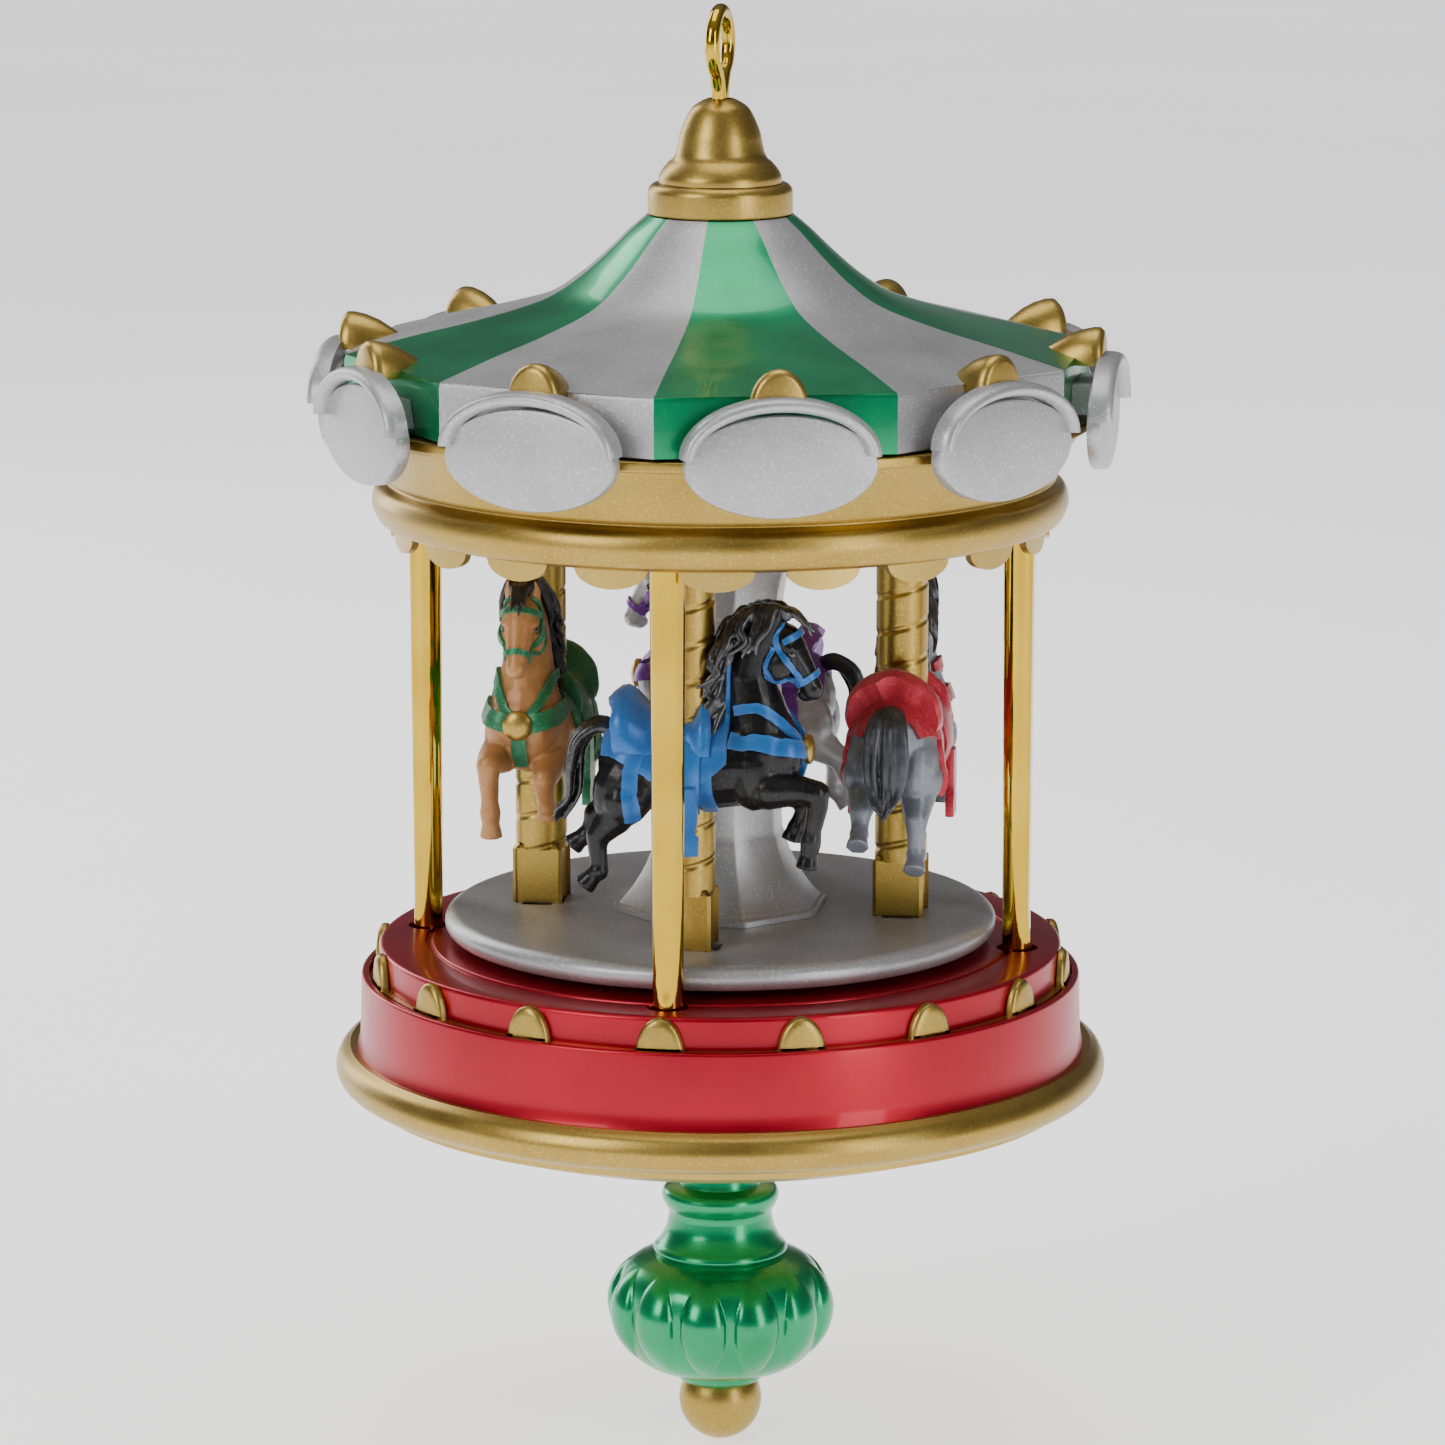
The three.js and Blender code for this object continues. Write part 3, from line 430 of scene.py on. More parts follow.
def make_camera():
    """The photograph's view: slightly above, a little to the right of the first column."""
    azimuth, elevation, distance = math.radians(9.58), math.radians(11.15), 617.3 * MM
    target = Vector((0, 0, (FLANGE_BOTTOM + 38.4) * MM))
    back = Vector((math.sin(azimuth) * math.cos(elevation), -math.cos(azimuth) * math.cos(elevation),
                   math.sin(elevation)))
    data = bpy.data.cameras.new("camera")
    data.lens = 146.5
    data.sensor_width = 36
    data.shift_x = 0.0015
    data.clip_start = 0.01
    camera = bpy.data.objects.new("camera", data)
    camera.location = target + back * distance
    camera.rotation_mode = "QUATERNION"
    camera.rotation_quaternion = (-back).to_track_quat("-Z", "Y")
    bpy.context.scene.collection.objects.link(camera)
    bpy.context.scene.camera = camera


def area_light(name, place, size, power, colour=(1, 1, 1)):
    """A rectangular lamp aimed at the middle of the part; place and size in metres."""
    data = bpy.data.lights.new(name, "AREA")
    data.shape = "RECTANGLE"
    data.size, data.size_y = size
    data.energy = power
    data.color = colour
    lamp = bpy.data.objects.new(name, data)
    lamp.location = place
    aim = Vector((0, 0, FLANGE_BOTTOM * MM / 2)) - Vector(place)
    lamp.rotation_euler = aim.to_track_quat("-Z", "Y").to_euler()
    bpy.context.scene.collection.objects.link(lamp)


def make_studio():
    """Four soft lamps, and a grey surround that the camera sees as white."""
    area_light("key", (-0.45, -0.6, 0.35), (0.35, 0.5), 3.4)
    area_light("fill", (0.6, -0.45, 0.1), (0.2, 0.6), 2)
    area_light("rim_left", (-0.55, 0.45, 0.2), (0.25, 0.6), 2.4)
    area_light("top", (0.0, 0.05, 0.6), (0.5, 0.5), 2)
    world = bpy.data.worlds.new("studio")
    bpy.context.scene.world = world
    world.use_nodes = True
    nodes, links = world.node_tree.nodes, world.node_tree.links
    background = nodes["Background"]
    place = nodes.new("ShaderNodeTexCoord")
    split = nodes.new("ShaderNodeSeparateXYZ")
    links.new(place.outputs["Generated"], split.inputs["Vector"])
    shade = ramp_node(nodes, links, split.outputs["Z"], [
        (0.0, (0.4, 0.4, 0.41)), (0.25, (0.07, 0.07, 0.075)), (1.0, (0.4, 0.4, 0.41))])
    white = nodes.new("ShaderNodeBackground")
    white.inputs["Color"].default_value = (1, 1, 1, 1)
    white.inputs["Strength"].default_value = 1.0
    path = nodes.new("ShaderNodeLightPath")
    mix = nodes.new("ShaderNodeMixShader")
    links.new(shade.outputs["Color"], background.inputs["Color"])
    background.inputs["Strength"].default_value = 0.9
    links.new(path.outputs["Is Camera Ray"], mix.inputs["Fac"])
    links.new(background.outputs["Background"], mix.inputs[1])
    links.new(white.outputs["Background"], mix.inputs[2])
    links.new(mix.outputs["Shader"], nodes["World Output"].inputs["Surface"])


def make_floor():
    """A pale floor just under the knob's ball."""
    extent = 20000
    corners = [(x * extent, y * extent, BALL_BOTTOM - 0.05) for x, y in SQUARE]
    made, nodes, links, surface = shader("floor_white", 0, 0.9)
    soft = noise_node(nodes, links, 8, 2)
    tint = ramp_node(nodes, links, soft.outputs["Fac"], [(0.3, (0.93,) * 3), (0.7, (0.95,) * 3)])
    links.new(tint.outputs["Color"], surface.inputs["Base Color"])
    links.new(tint.outputs["Color"], surface.inputs["Emission Color"])
    surface.inputs["Emission Strength"].default_value = 1.15
    floor = new_object("floor", mesh_from("floor", corners, [(0, 1, 2, 3)]), [made])


# ---------------------------------------------------------------- the base

def make_base():
    """The red plinth and drum with the recesses of the four columns."""
    foot, plinth, bottom, top = DRUM_FOOT, PLINTH_RADIUS, DRUM_BOTTOM, PLINTH_TOP
    rim = plinth + 1.95
    groove = top - 4.2
    wall = 2
    profile = rounded([
        (4, top), (30.4, top, 0.2), (30.5, top - 0.35, 0.1), (31, top - 0.35, 0.1), (31.1, top, 0.2),
        (plinth, top, 0.5), (plinth, groove, 0.1), (plinth + 1.2, groove, 0.1),
        (plinth + 1.2, groove + 1, 0.15), (rim, groove + 1, 0.4), (rim + 0.2, bottom + 3, 1.2),
        (foot - 0.4, bottom + 0.9, 0.8), (foot, bottom, 0.1), (foot - 3.4, bottom),
        (foot - 3.4, groove - wall), (plinth - wall, groove - wall), (plinth - wall, top - wall),
        (4, top - wall),
    ])
    drum = turned("base_drum_shell", profile, RED)
    cutters = []
    for i in QUARTERS:
        recess = prism(f"recess_{i}", circle(0, -COLUMN_CIRCLE, 2.15), top - 2.6, top + 1)
        cutters.append(at_angle(recess, i * math.pi / 2))
    cut_with(drum, cutters)
    settle(drum, "case", "candy_red", "base_drum")


def make_flange():
    """The wide gold ring that the base stands on."""
    top, bottom, wide = FLANGE_TOP + 0.28, FLANGE_BOTTOM, FLANGE_RADIUS
    crown = catmull([(wide - 1.5, top), (wide - 0.5, top - 0.75), (wide, top - 2.1), (wide - 0.4, top - 3.4),
                     (wide - 1.7, bottom + 0.15), (wide - 3.2, bottom)], 6)
    profile = crown + [(wide - 5, bottom), (wide - 5, top - 0.3)]
    settle(turned("base_flange_ring", profile, GOLD), "case", "gold", "base_flange")


def make_base_studs():
    """Sixteen rounded tablets against the plinth, joined by the thin ring they stand on."""
    inner = PLINTH_RADIUS + 0.05
    bottom = low("base_stud_ring").z
    height = high("base_stud_ring").z - bottom
    wide, thick = inner + 0.7, bottom + 0.5
    section = ((inner, bottom), (wide, bottom), (wide, thick), (inner, thick))
    parts = [loft([[polar(r, turn, z) for turn in around(96)] for r, z in section])]
    steps = [(inner, 0), (inner + 0.45, 0), (inner + 0.7, 0.12), (inner + 0.85, 0.35), (inner + 0.95, 0.9)]
    points, faces = loft(plate_rings(ellipse_arc(5, height, bottom, 0, 180, 24), steps), wrap=False)
    for angle in around(16):
        turn = Matrix.Rotation(angle, 3, "Z")
        parts.append(([turn @ Vector(p) for p in points], faces))
    studs = new_object("base_studs", mesh_from("base_studs", *gathered(parts)), [GOLD], 50)
    settle(studs, "case", "gold", "base_stud_ring")


def make_cover():
    """The shallow dish under the flange."""
    rim = high("bottom_cover").x
    top = FLANGE_BOTTOM - 0.3
    drop = top - low("bottom_cover").z
    outside = catmull([(rim, top - 0.6), (rim * 0.75, top - drop * 0.5), (rim * 0.4, top - drop * 0.85),
                       (2.3, top - drop)], 8)
    inside = [(2.3, top - drop + 1.5), (rim * 0.5, top - drop * 0.75 + 1.3), (rim - 4, top), (rim, top)]
    settle(turned("bottom_cover_dome", outside + inside, GOLD, 120), "case", "steel", "bottom_cover")


# ---------------------------------------------------------------- columns

def make_columns():
    """Tapered plated rods with a flat outer facet that ends in a rounded tongue above the base."""
    bottom = low("column_1").z
    sides, levels = 48, 60
    tongue_start, tongue_length = 0.5, 3.5
    rings = []
    for level in range(levels + 1):
        z = bottom + (COLUMN_TOP - bottom) * level / levels
        share = max(0, (z - PLINTH_TOP) / (COLUMN_TOP - PLINTH_TOP))
        radius = 1.55 + 0.25 * share
        tongue = math.sqrt(max(0, min(1, (z - PLINTH_TOP - tongue_start) / tongue_length)))
        facet = radius * (1 - 0.2 * tongue)
        round_ring = [polar(radius, turn, z) for turn in around(sides)]
        rings.append([(x, max(y, -facet) - COLUMN_CIRCLE, z) for x, y, z in round_ring])
    points, faces = loft(rings, wrap=False)
    for i in QUARTERS:
        node = f"column_{i + 1}"
        rod = new_object(f"{node}_rod", mesh_from(f"{node}_rod", points, faces), [CHROME_GOLD], 20)
        settle(baked(at_angle(rod, i * math.pi / 2)), "case", "gold", node)


# ---------------------------------------------------------------- canopy

def make_cornice():
    """Bar, cone and fat lower moulding."""
    inner = VALANCE_RADIUS + 0.3
    cove = CORNICE_TOP - 6.85
    moulding_bottom = cove - 4.7
    bar = CORNICE_TOP - 1.15
    bulge = catmull([(inner + 0.2, moulding_bottom), (inner + 1.0, moulding_bottom + 0.45),
                     (inner + 1.65, moulding_bottom + 2.0), (inner + 1.3, moulding_bottom + 3.6),
                     (inner + 0.35, cove - 0.3), (inner + 0.35, cove)], 6)
    cone = catmull([(inner + 0.5, cove + 0.2), (inner + 1.4, cove + 2.6), (inner + 3.1, bar - 0.4)], 6)
    top = rounded([(inner + 3.3, bar, 0.1), (CORNICE_RADIUS, bar, 0.3), (CORNICE_RADIUS, CORNICE_TOP, 0.3),
                   (inner + 2, CORNICE_TOP)], closed=False)
    inside = [(inner + 2, bar), (inner - 1.4, cove), (inner - 1.4, cove - 0.8), (inner - 4.4, cove - 0.8),
              (inner - 4.4, cove - 2.3), (inner, cove - 2.3), (inner, moulding_bottom)]
    settle(turned("cornice_moulding", bulge + cone + top + inside, GOLD), "case", "gold", "cornice_band")


def make_valance():
    """Round tips; each valley between two is notched on both sides of a small point."""
    scallops, tip_share = 20, 0.72
    drop, notch_depth = 2.1, 0.176
    inner, outer = VALANCE_RADIUS - 0.75, VALANCE_RADIUS
    bottom = VALANCE_BOTTOM
    notch_middle, notch_half = (1 + tip_share) / 2, (1 - tip_share) / 2

    def hang(turn, r, z):
        if z > bottom + 0.3:
            return r, z
        phase = abs((turn * scallops / (2 * math.pi)) % 1 - 0.5) * 2
        if phase < tip_share:
            return r, bottom + drop - drop * math.sqrt(1 - (phase / tip_share) ** 2)
        swing = math.cos(math.pi * min(1, abs(phase - notch_middle) / notch_half))
        return r, bottom + drop + notch_depth * (1 + swing) * drop

    profile = [(inner, VALANCE_TOP), (outer, VALANCE_TOP), (outer, bottom), (inner, bottom)]
    scalloped = turned("valance_scallops", profile, GOLD, 720, hang)
    settle(scalloped, "case", "gold", "scalloped_valance")


def decagon(turn, radius, roundness):
    """Reach of a ten-sided ring with corners at the stripe borders, softened by roundness."""
    step = 2 * math.pi / ROOF_SIDES
    offset = (turn % step) - step / 2
    flat = math.cos(step / 2) / math.cos(offset)
    return radius * (flat + (1 - flat) * roundness)


def make_roof():
    """The striped tent: ten flat sides at the rim that grow round towards the crown."""
    wide, foot, crown = ROOF_RADIUS, ROOF_BOTTOM, 15
    rim = foot + 6
    rise = ROOF_TOP - rim
    slope = catmull(raised([(wide, 0), (32, 1.75), (24.9, 3.35), (18.6, 5.2), (crown, 7.3), (11.9, 9.9),
                            (9.4, 12.3), (7.6, rise)], rim), 6)
    outside = [(wide, foot), (wide, rim - 0.5), (wide - 0.12, rim - 0.12)] + slope
    inside = raised([(1.3, rise), (1.3, rise - 1.5), (7, rise - 1.6), (17.5, 3.9), (36, -1.2),
                     (36.6, -1.6)], rim) + [(36.6, foot)]
    per_side = 24
    turns = around(per_side * ROOF_SIDES)
    rings = []
    for r, z in outside + inside:
        share = max(0, min(1, (wide - r) / (wide - crown)))
        rings.append([polar(decagon(turn, r, share ** 1.5), turn, z) for turn in turns])
    points, faces = loft(rings)
    size = len(turns)
    mesh = bpy.data.meshes.new("roof_tent")
    mesh.from_pydata([tuple(Vector(p) * MM) for p in points], [], faces)
    tent = new_object("roof_tent", mesh, [GREEN, SILVER], 28)
    for face in mesh.polygons:
        columns = {face.vertices[0] % size, face.vertices[1] % size}
        column = size - 1 if columns == {0, size - 1} else min(columns)
        face.material_index = (column // per_side) % 2
    outward(mesh)
    settle(tent, "case", "candy_green", "canopy_roof")


def make_medallions():
    """Oval discs under a raised half-round brow, and the gold stud above each."""
    front = CORNICE_RADIUS + 0.3
    middle = ROOF_BOTTOM - 0.55
    disc = plate_rings(ellipse_arc(19.1, 5.075, middle, 0, 360, 72)[:-1],
                       [(front, 0.1), (front + 0.3, 0), (front + 1.2, 0), (front + 1.42, 0.1),
                        (front + 1.5, 0.35)])
    pad = plate_rings(raised([(-6, 1.2), (6, 1.2), (5, 4), (-5, 4)], middle),
                      [(FACE_DISTANCE + 0.05, 0), (front + 0.5, 0)])
    brow = brow_rings(middle + 1.0, 19.9, 5.9, 1.5, front + 0.9)
    shape = gathered([loft(rings, wrap=False) for rings in (disc, brow, pad)])
    for i in range(ROOF_SIDES):
        number = f"{i + 1:02d}"
        turn = math.pi / ROOF_SIDES + i * 2 * math.pi / ROOF_SIDES
        plate = new_object(f"medallion_plate_{number}", mesh_from("medallion", *shape), [SILVER], 40)
        settle(baked(at_angle(plate, turn)), "case", "silver", f"medallion_{number}")
        make_roof_stud(number, turn)


def brow_rings(base, width, rise, band, back):
    """A half-round bead over the upper half of the disc."""
    rings = []
    steps = 40
    for i in range(steps + 1):
        turn = math.pi * i / steps
        outer = Vector((width / 2 * math.cos(turn), base + rise * math.sin(turn)))
        inner = Vector(((width / 2 - band) * math.cos(turn), base + (rise - band) * math.sin(turn)))
        middle, half = (outer + inner) / 2, (outer - inner) / 2
        ring = []
        for k in range(13):
            arc = math.pi * k / 12
            spot = middle + half * math.cos(arc)
            ring.append((spot.x, -(back + 1.75 * math.sin(arc) ** 0.7), spot.y))
        ring.append((middle.x - half.x, -(back - 0.5), middle.y - half.y))
        ring.append((middle.x + half.x, -(back - 0.5), middle.y + half.y))
        rings.append(ring)
    return rings


def make_roof_stud(number, turn):
    """A nub with a bevelled half-oval face that tapers back onto the roof."""
    bottom = ROOF_BOTTOM + 5.5
    front = high("roof_stud_03").x
    steps = [(0.0, 0.80, 0.80), (0.12, 0.9, 0.9), (0.5, 1, 1), (1.2, 1, 1), (2.4, 0.95, 0.93),
             (3.8, 0.82, 0.78), (5.2, 0.6, 0.55), (6.3, 0.3, 0.36), (6.6, 0.1, 0.3)]
    rings = []
    for back, across, tall in steps:
        outline = ellipse_arc(5.7 * across, 3.7 * tall, bottom - 0.3, 0, 180, 24)
        rings.append([(x, -(front - back), z) for x, z in outline])
    name = f"roof_stud_nub_{number}"
    stud = new_object(name, mesh_from(name, *loft(rings, wrap=False)), [GOLD], 50)
    settle(baked(at_angle(stud, turn)), "case", "gold", f"roof_stud_{number}")


def make_cap_and_collar():
    """The ring at the crown of the tent and the bell-shaped cap on it."""
    inner, wide = 1.3, COLLAR_RADIUS
    bottom, top = COLLAR_BOTTOM - 0.25, COLLAR_TOP + 0.25
    collar = rounded([(inner, bottom), (wide, bottom, 0.3), (wide, COLLAR_TOP - 0.4, 0.3),
                      (wide - 0.5, top, 0.4), (inner, top)])
    settle(turned("roof_collar_ring", collar, GOLD, 96), "case", "gold", "roof_collar")
    height = CAP_TOP - CAP_BOTTOM
    foot = rounded(raised([(6.37, 0.02, 0.2), (6.37, 0.7, 0.4), (5.9, 1.5, 0.4), (5.25, 2.2, 0.4)],
                          CAP_BOTTOM), closed=False)
    dome = catmull(raised([(5.0, 2.35), (4.65, 2.9), (4.4, 3.9), (4.15, 5.1), (3.6, 6.5), (2.9, 7.7),
                           (1.9, height), (inner, height + 0.25)], CAP_BOTTOM), 6)
    profile = [(1.2, CAP_BOTTOM)] + foot + dome + [(1.2, CAP_BOTTOM + height + 0.2)]
    settle(turned("roof_cap_bell", profile, GOLD, 96), "case", "satin_gold", "roof_cap")


def sweep(path, radius, sides=16):
    """A round wire along a path in millimetres, with closed ends."""
    line = [Vector(p) for p in path]
    side = Vector((1, 0, 0))
    rings = []
    for i, spot in enumerate(line):
        along = (line[min(i + 1, len(line) - 1)] - line[max(i - 1, 0)]).normalized()
        side = (side - along * side.dot(along)).normalized()
        up = along.cross(side)
        rings.append([spot + (side * math.cos(a) + up * math.sin(a)) * radius for a in around(sides)])
    return loft(rings, wrap=False)


def make_eye():
    """One plated wire: up from the cap, round the loop and down again beside itself."""
    name = "hanging_eye_wire"
    wire, ring = 0.75, 3.35
    apart = 0.66            # each leg of the wire from the middle
    opening = 28            # degrees to each side of the loop's lowest point
    middle = EYE_TOP - wire - ring
    neck = CAP_TOP + 0.1
    path = [(0, -apart, neck - 1.5), (0, -apart, neck + 0.9)]
    for k in range(49):
        turn = math.radians(-90 - opening + (2 * opening - 360) * k / 48)
        path.append((0, ring * math.cos(turn), middle + ring * math.sin(turn)))
    path += [(0, apart, neck + 0.9), (0, apart, neck - 1.5)]
    eye = new_object(name, mesh_from(name, *sweep(catmull(path, 3), wire)), [CHROME_GOLD], 60)
    settle(baked(at_angle(eye, math.radians(-4.5))), "case", "gold", "hanging_eye")


# ---------------------------------------------------------------- the turntable

def make_platform():
    """The silver disc with a slot beside each pole's square foot."""
    r, top, bottom = PLATFORM_RADIUS, PLATFORM_TOP, PLATFORM_BOTTOM
    bore = 3.3
    profile = rounded([(bore, bottom), (r - 0.6, bottom, 0.3), (r, bottom + 0.7, 0.5), (r, top - 0.7, 0.6),
                       (r - 0.9, top, 0.7), (bore, top)])
    disc = turned("platform_disc", profile, SILVER)
    slot_half, slot_depth = (3.3, 1.6), 1.2
    outline = [(x * slot_half[0], y * slot_half[1] - POLE_CIRCLE) for x, y in SQUARE]
    cut_with(disc, [at_angle(prism(f"slot_{i}", outline, top - slot_depth, top + 1), i * math.pi / 2)
                    for i in QUARTERS])
    settle(disc, "turntable", "silver", "turntable_platform")


def make_hub():
    """The octagonal column, flared below and above."""
    bottom, top = low("hub_column").z - 0.25, high("hub_column").z + 0.25
    base = math.hypot(high("hub_column").x, low("hub_column").y) / math.sqrt(2) / math.cos(math.pi / 8)
    waist = 6.6
    line = catmull([(base - 0.6, bottom + 0.75), (9.6, bottom + 2.2), (8.0, bottom + 4.8),
                    (7.0, bottom + 7.4), (waist, bottom + 10.2), (waist, (bottom + top) / 2),
                    (waist, top - 14), (7.0, top - 10), (8.1, top - 6.5), (9.6, top - 3), (base, top)], 6)
    profile = [(base, bottom), (base, bottom + 0.55), (base - 0.15, bottom + 0.7)] + line
    bevel, inset = 0.035, 0.992         # radians to each side of a corner, share of the radius kept
    rings = [[polar(r * inset, math.pi / 8 + corner * math.pi / 4 + part, z)
              for corner in range(8) for part in (-bevel, bevel)] for r, z in profile]
    hub = new_object("hub_octagon", mesh_from("hub_octagon", *loft(rings, wrap=False)), [SILVER], 25)
    settle(hub, "turntable", "silver", "hub_column")


def make_poles():
    """Square foot with bevelled edges and a round pole with a spiral groove."""
    bottom = low("pole_1").z - 0.28
    foot_top = bottom + 6.3
    half, edge = 2.65, 0.35
    pole_radius, pitch, depth, width = 2.72, 3.8, 0.13, 0.1
    corners = ((1, 1, 0, 1), (1, 1, 1, 0), (1, -1, 1, 0), (1, -1, 0, -1),
               (-1, -1, 0, -1), (-1, -1, -1, 0), (-1, 1, -1, 0), (-1, 1, 0, 1))
    foot = [[(x * size - cut_x * edge, y * size - cut_y * edge - POLE_CIRCLE, z)
             for x, y, cut_x, cut_y in corners]
            for size, z in ((half, bottom), (half, foot_top - 0.5), (half - 0.4, foot_top))]
    sides, levels = 56, 300
    rings = []
    for level in range(levels + 1):
        z = foot_top - 0.6 + (POLE_TOP - foot_top + 0.6) * level / levels
        ring = []
        for turn in around(sides):
            phase = (z / pitch - turn / (2 * math.pi)) % 1
            groove = max(0, 1 - (min(phase, 1 - phase) / width) ** 2)
            radius = pole_radius - depth * groove
            ring.append((radius * math.cos(turn), radius * math.sin(turn) - POLE_CIRCLE, z))
        rings.append(ring)
    shape = gathered([loft(foot, wrap=False), loft(rings, wrap=False)])
    for i in QUARTERS:
        node = f"pole_{i + 1}"
        pole = new_object(f"{node}_spiral", mesh_from(f"{node}_spiral", *shape), [GOLD], 32)
        settle(baked(at_angle(pole, i * math.pi / 2)), "turntable", "gold", node)


# ---------------------------------------------------------------- the winding knob

def make_knob():
    """Stem, dished ring, waist and the melon with its raised almond lobes; the ball below."""
    lobes = 12
    stem = raised([(0.5, 0), (4.1, 0), (4.1, -3.4), (4.3, -3.9)], KNOB_TOP)
    ring = catmull(raised([(5.0, -4.0), (5.9, -4.25), (6.26, -5.1), (5.95, -6.0), (5.55, -6.6)], KNOB_TOP), 5)
    waist = catmull(raised([(5.5, -7.2), (5.75, -8.5), (6.25, -9.6), (6.7, -10.3)], KNOB_TOP), 5)
    bead = catmull(raised([(6.95, -10.5), (7.15, -11.0), (6.95, -11.5)], KNOB_TOP), 4)
    melon_top, melon_bottom = KNOB_TOP - 11.6, KNOB_TOP - 24.2
    melon = catmull(raised([(7.4, 0), (9.3, -0.75), (10.6, -2.1), (11.3, -4.2), (11.35, -6.3), (10.9, -8.6),
                            (9.8, -10.5), (8.0, -11.9)], melon_top) + [(5.5, melon_bottom)], 8)
    foot = catmull(raised([(4.9, -0.2), (4.75, -0.8), (4.3, -1.3)], melon_bottom), 4)
    profile = stem + ring + waist + bead + melon + foot + [(0.5, melon_bottom - 1.3)]

    def lobe(turn, r, z):
        share = (melon_top - z) / (melon_top - melon_bottom)
        if not 0.02 < share < 0.98 or r < 5:
            return r, z
        belly = math.sin(math.pi * (share - 0.06) / 0.8) ** 0.8 if 0.06 < share < 0.86 else 0
        phase = abs((turn * lobes / (2 * math.pi) + 0.5) % 1 - 0.5) * 2
        width = 0.25 + 0.6 * belly
        bump = math.sqrt(max(0, 1 - (phase / width) ** 2)) * belly
        return r + 0.85 * bump - 0.25 * (1 - bump) * belly, z

    knob = turned("winding_knob_lobed", profile, GREEN, 480, lobe, sharp=60)
    settle(knob, "winder", "candy_green", "winding_knob")
    radius, axis = 4.41, 0.02
    middle = BALL_BOTTOM + radius
    arc = [(radius * math.sin(a), middle - radius * math.cos(a)) for a in map(math.radians, range(3, 151, 7))]
    outline = [(axis, BALL_BOTTOM)] + arc + [(axis, middle + radius * 0.9)]
    settle(turned("knob_ball_gold", outline, GOLD, 64), "winder", "gold", "knob_ball")


# ---------------------------------------------------------------- horses

def ball_part(work, centre, radii, tilt=0, sides=14, bands=9):
    """An ellipsoid added to a (points, faces) pair; tilt turns it nose down, in degrees."""
    points = work[0]
    turn = Matrix.Rotation(math.radians(tilt), 3, "Y")
    first = len(points)
    for k in range(1, bands):
        up, out = math.cos(math.pi * k / bands), math.sin(math.pi * k / bands)
        for a in around(sides):
            spot = Vector((radii[0] * out * math.cos(a), radii[1] * out * math.sin(a), radii[2] * up))
            points.append(Vector(centre) + turn @ spot)
    close_rings(work, first, bands - 1, sides)


def close_rings(work, first, rings, sides):
    """Faces between consecutive rings of points, and one face over each end."""
    faces = work[1]
    for k in range(rings - 1):
        lower, upper = first + k * sides, first + (k + 1) * sides
        for j in range(sides):
            following = (j + 1) % sides
            faces.append((lower + j, upper + j, upper + following, lower + following))
    faces.append(tuple(first + j for j in range(sides)))
    faces.append(tuple(first + (rings - 1) * sides + j for j in reversed(range(sides))))


def rod_part(work, start, end, start_radius, end_radius, sides=14):
    """A closed tapered rod between two points."""
    points = work[0]
    start, end = Vector(start), Vector(end)
    turn = (end - start).to_track_quat("Z", "Y")
    first = len(points)
    for spot, radius in ((end, end_radius), (start, start_radius)):
        points += [spot + turn @ Vector((radius * math.cos(a), radius * math.sin(a), 0))
                   for a in around(sides)]
    close_rings(work, first, 2, sides)


def limb_part(work, path):
    """A chain of tapered rods and balls through (x, y, z, radius) stations."""
    for station in path:
        ball_part(work, station[:3], (station[3],) * 3)
    for a, b in zip(path, path[1:]):
        rod_part(work, a[:3], b[:3], a[3], b[3])


def fused(name, build, voxel, smoothing, material):
    """Joins overlapping parts into one skin by a voxel remesh and smooths it."""
    work = ([], [])
    build(work)
    obj = bpy.data.objects.new(name, mesh_from(name, *work))
    bpy.context.scene.collection.objects.link(obj)
    remesh = obj.modifiers.new("fuse", "REMESH")
    remesh.mode = "VOXEL"
    remesh.voxel_size = voxel * MM
    smooth = obj.modifiers.new("smooth", "SMOOTH")
    smooth.factor = 0.5
    smooth.iterations = smoothing
    baked(obj)
    obj.data.shade_smooth()
    obj.data.materials.append(material)
    return obj


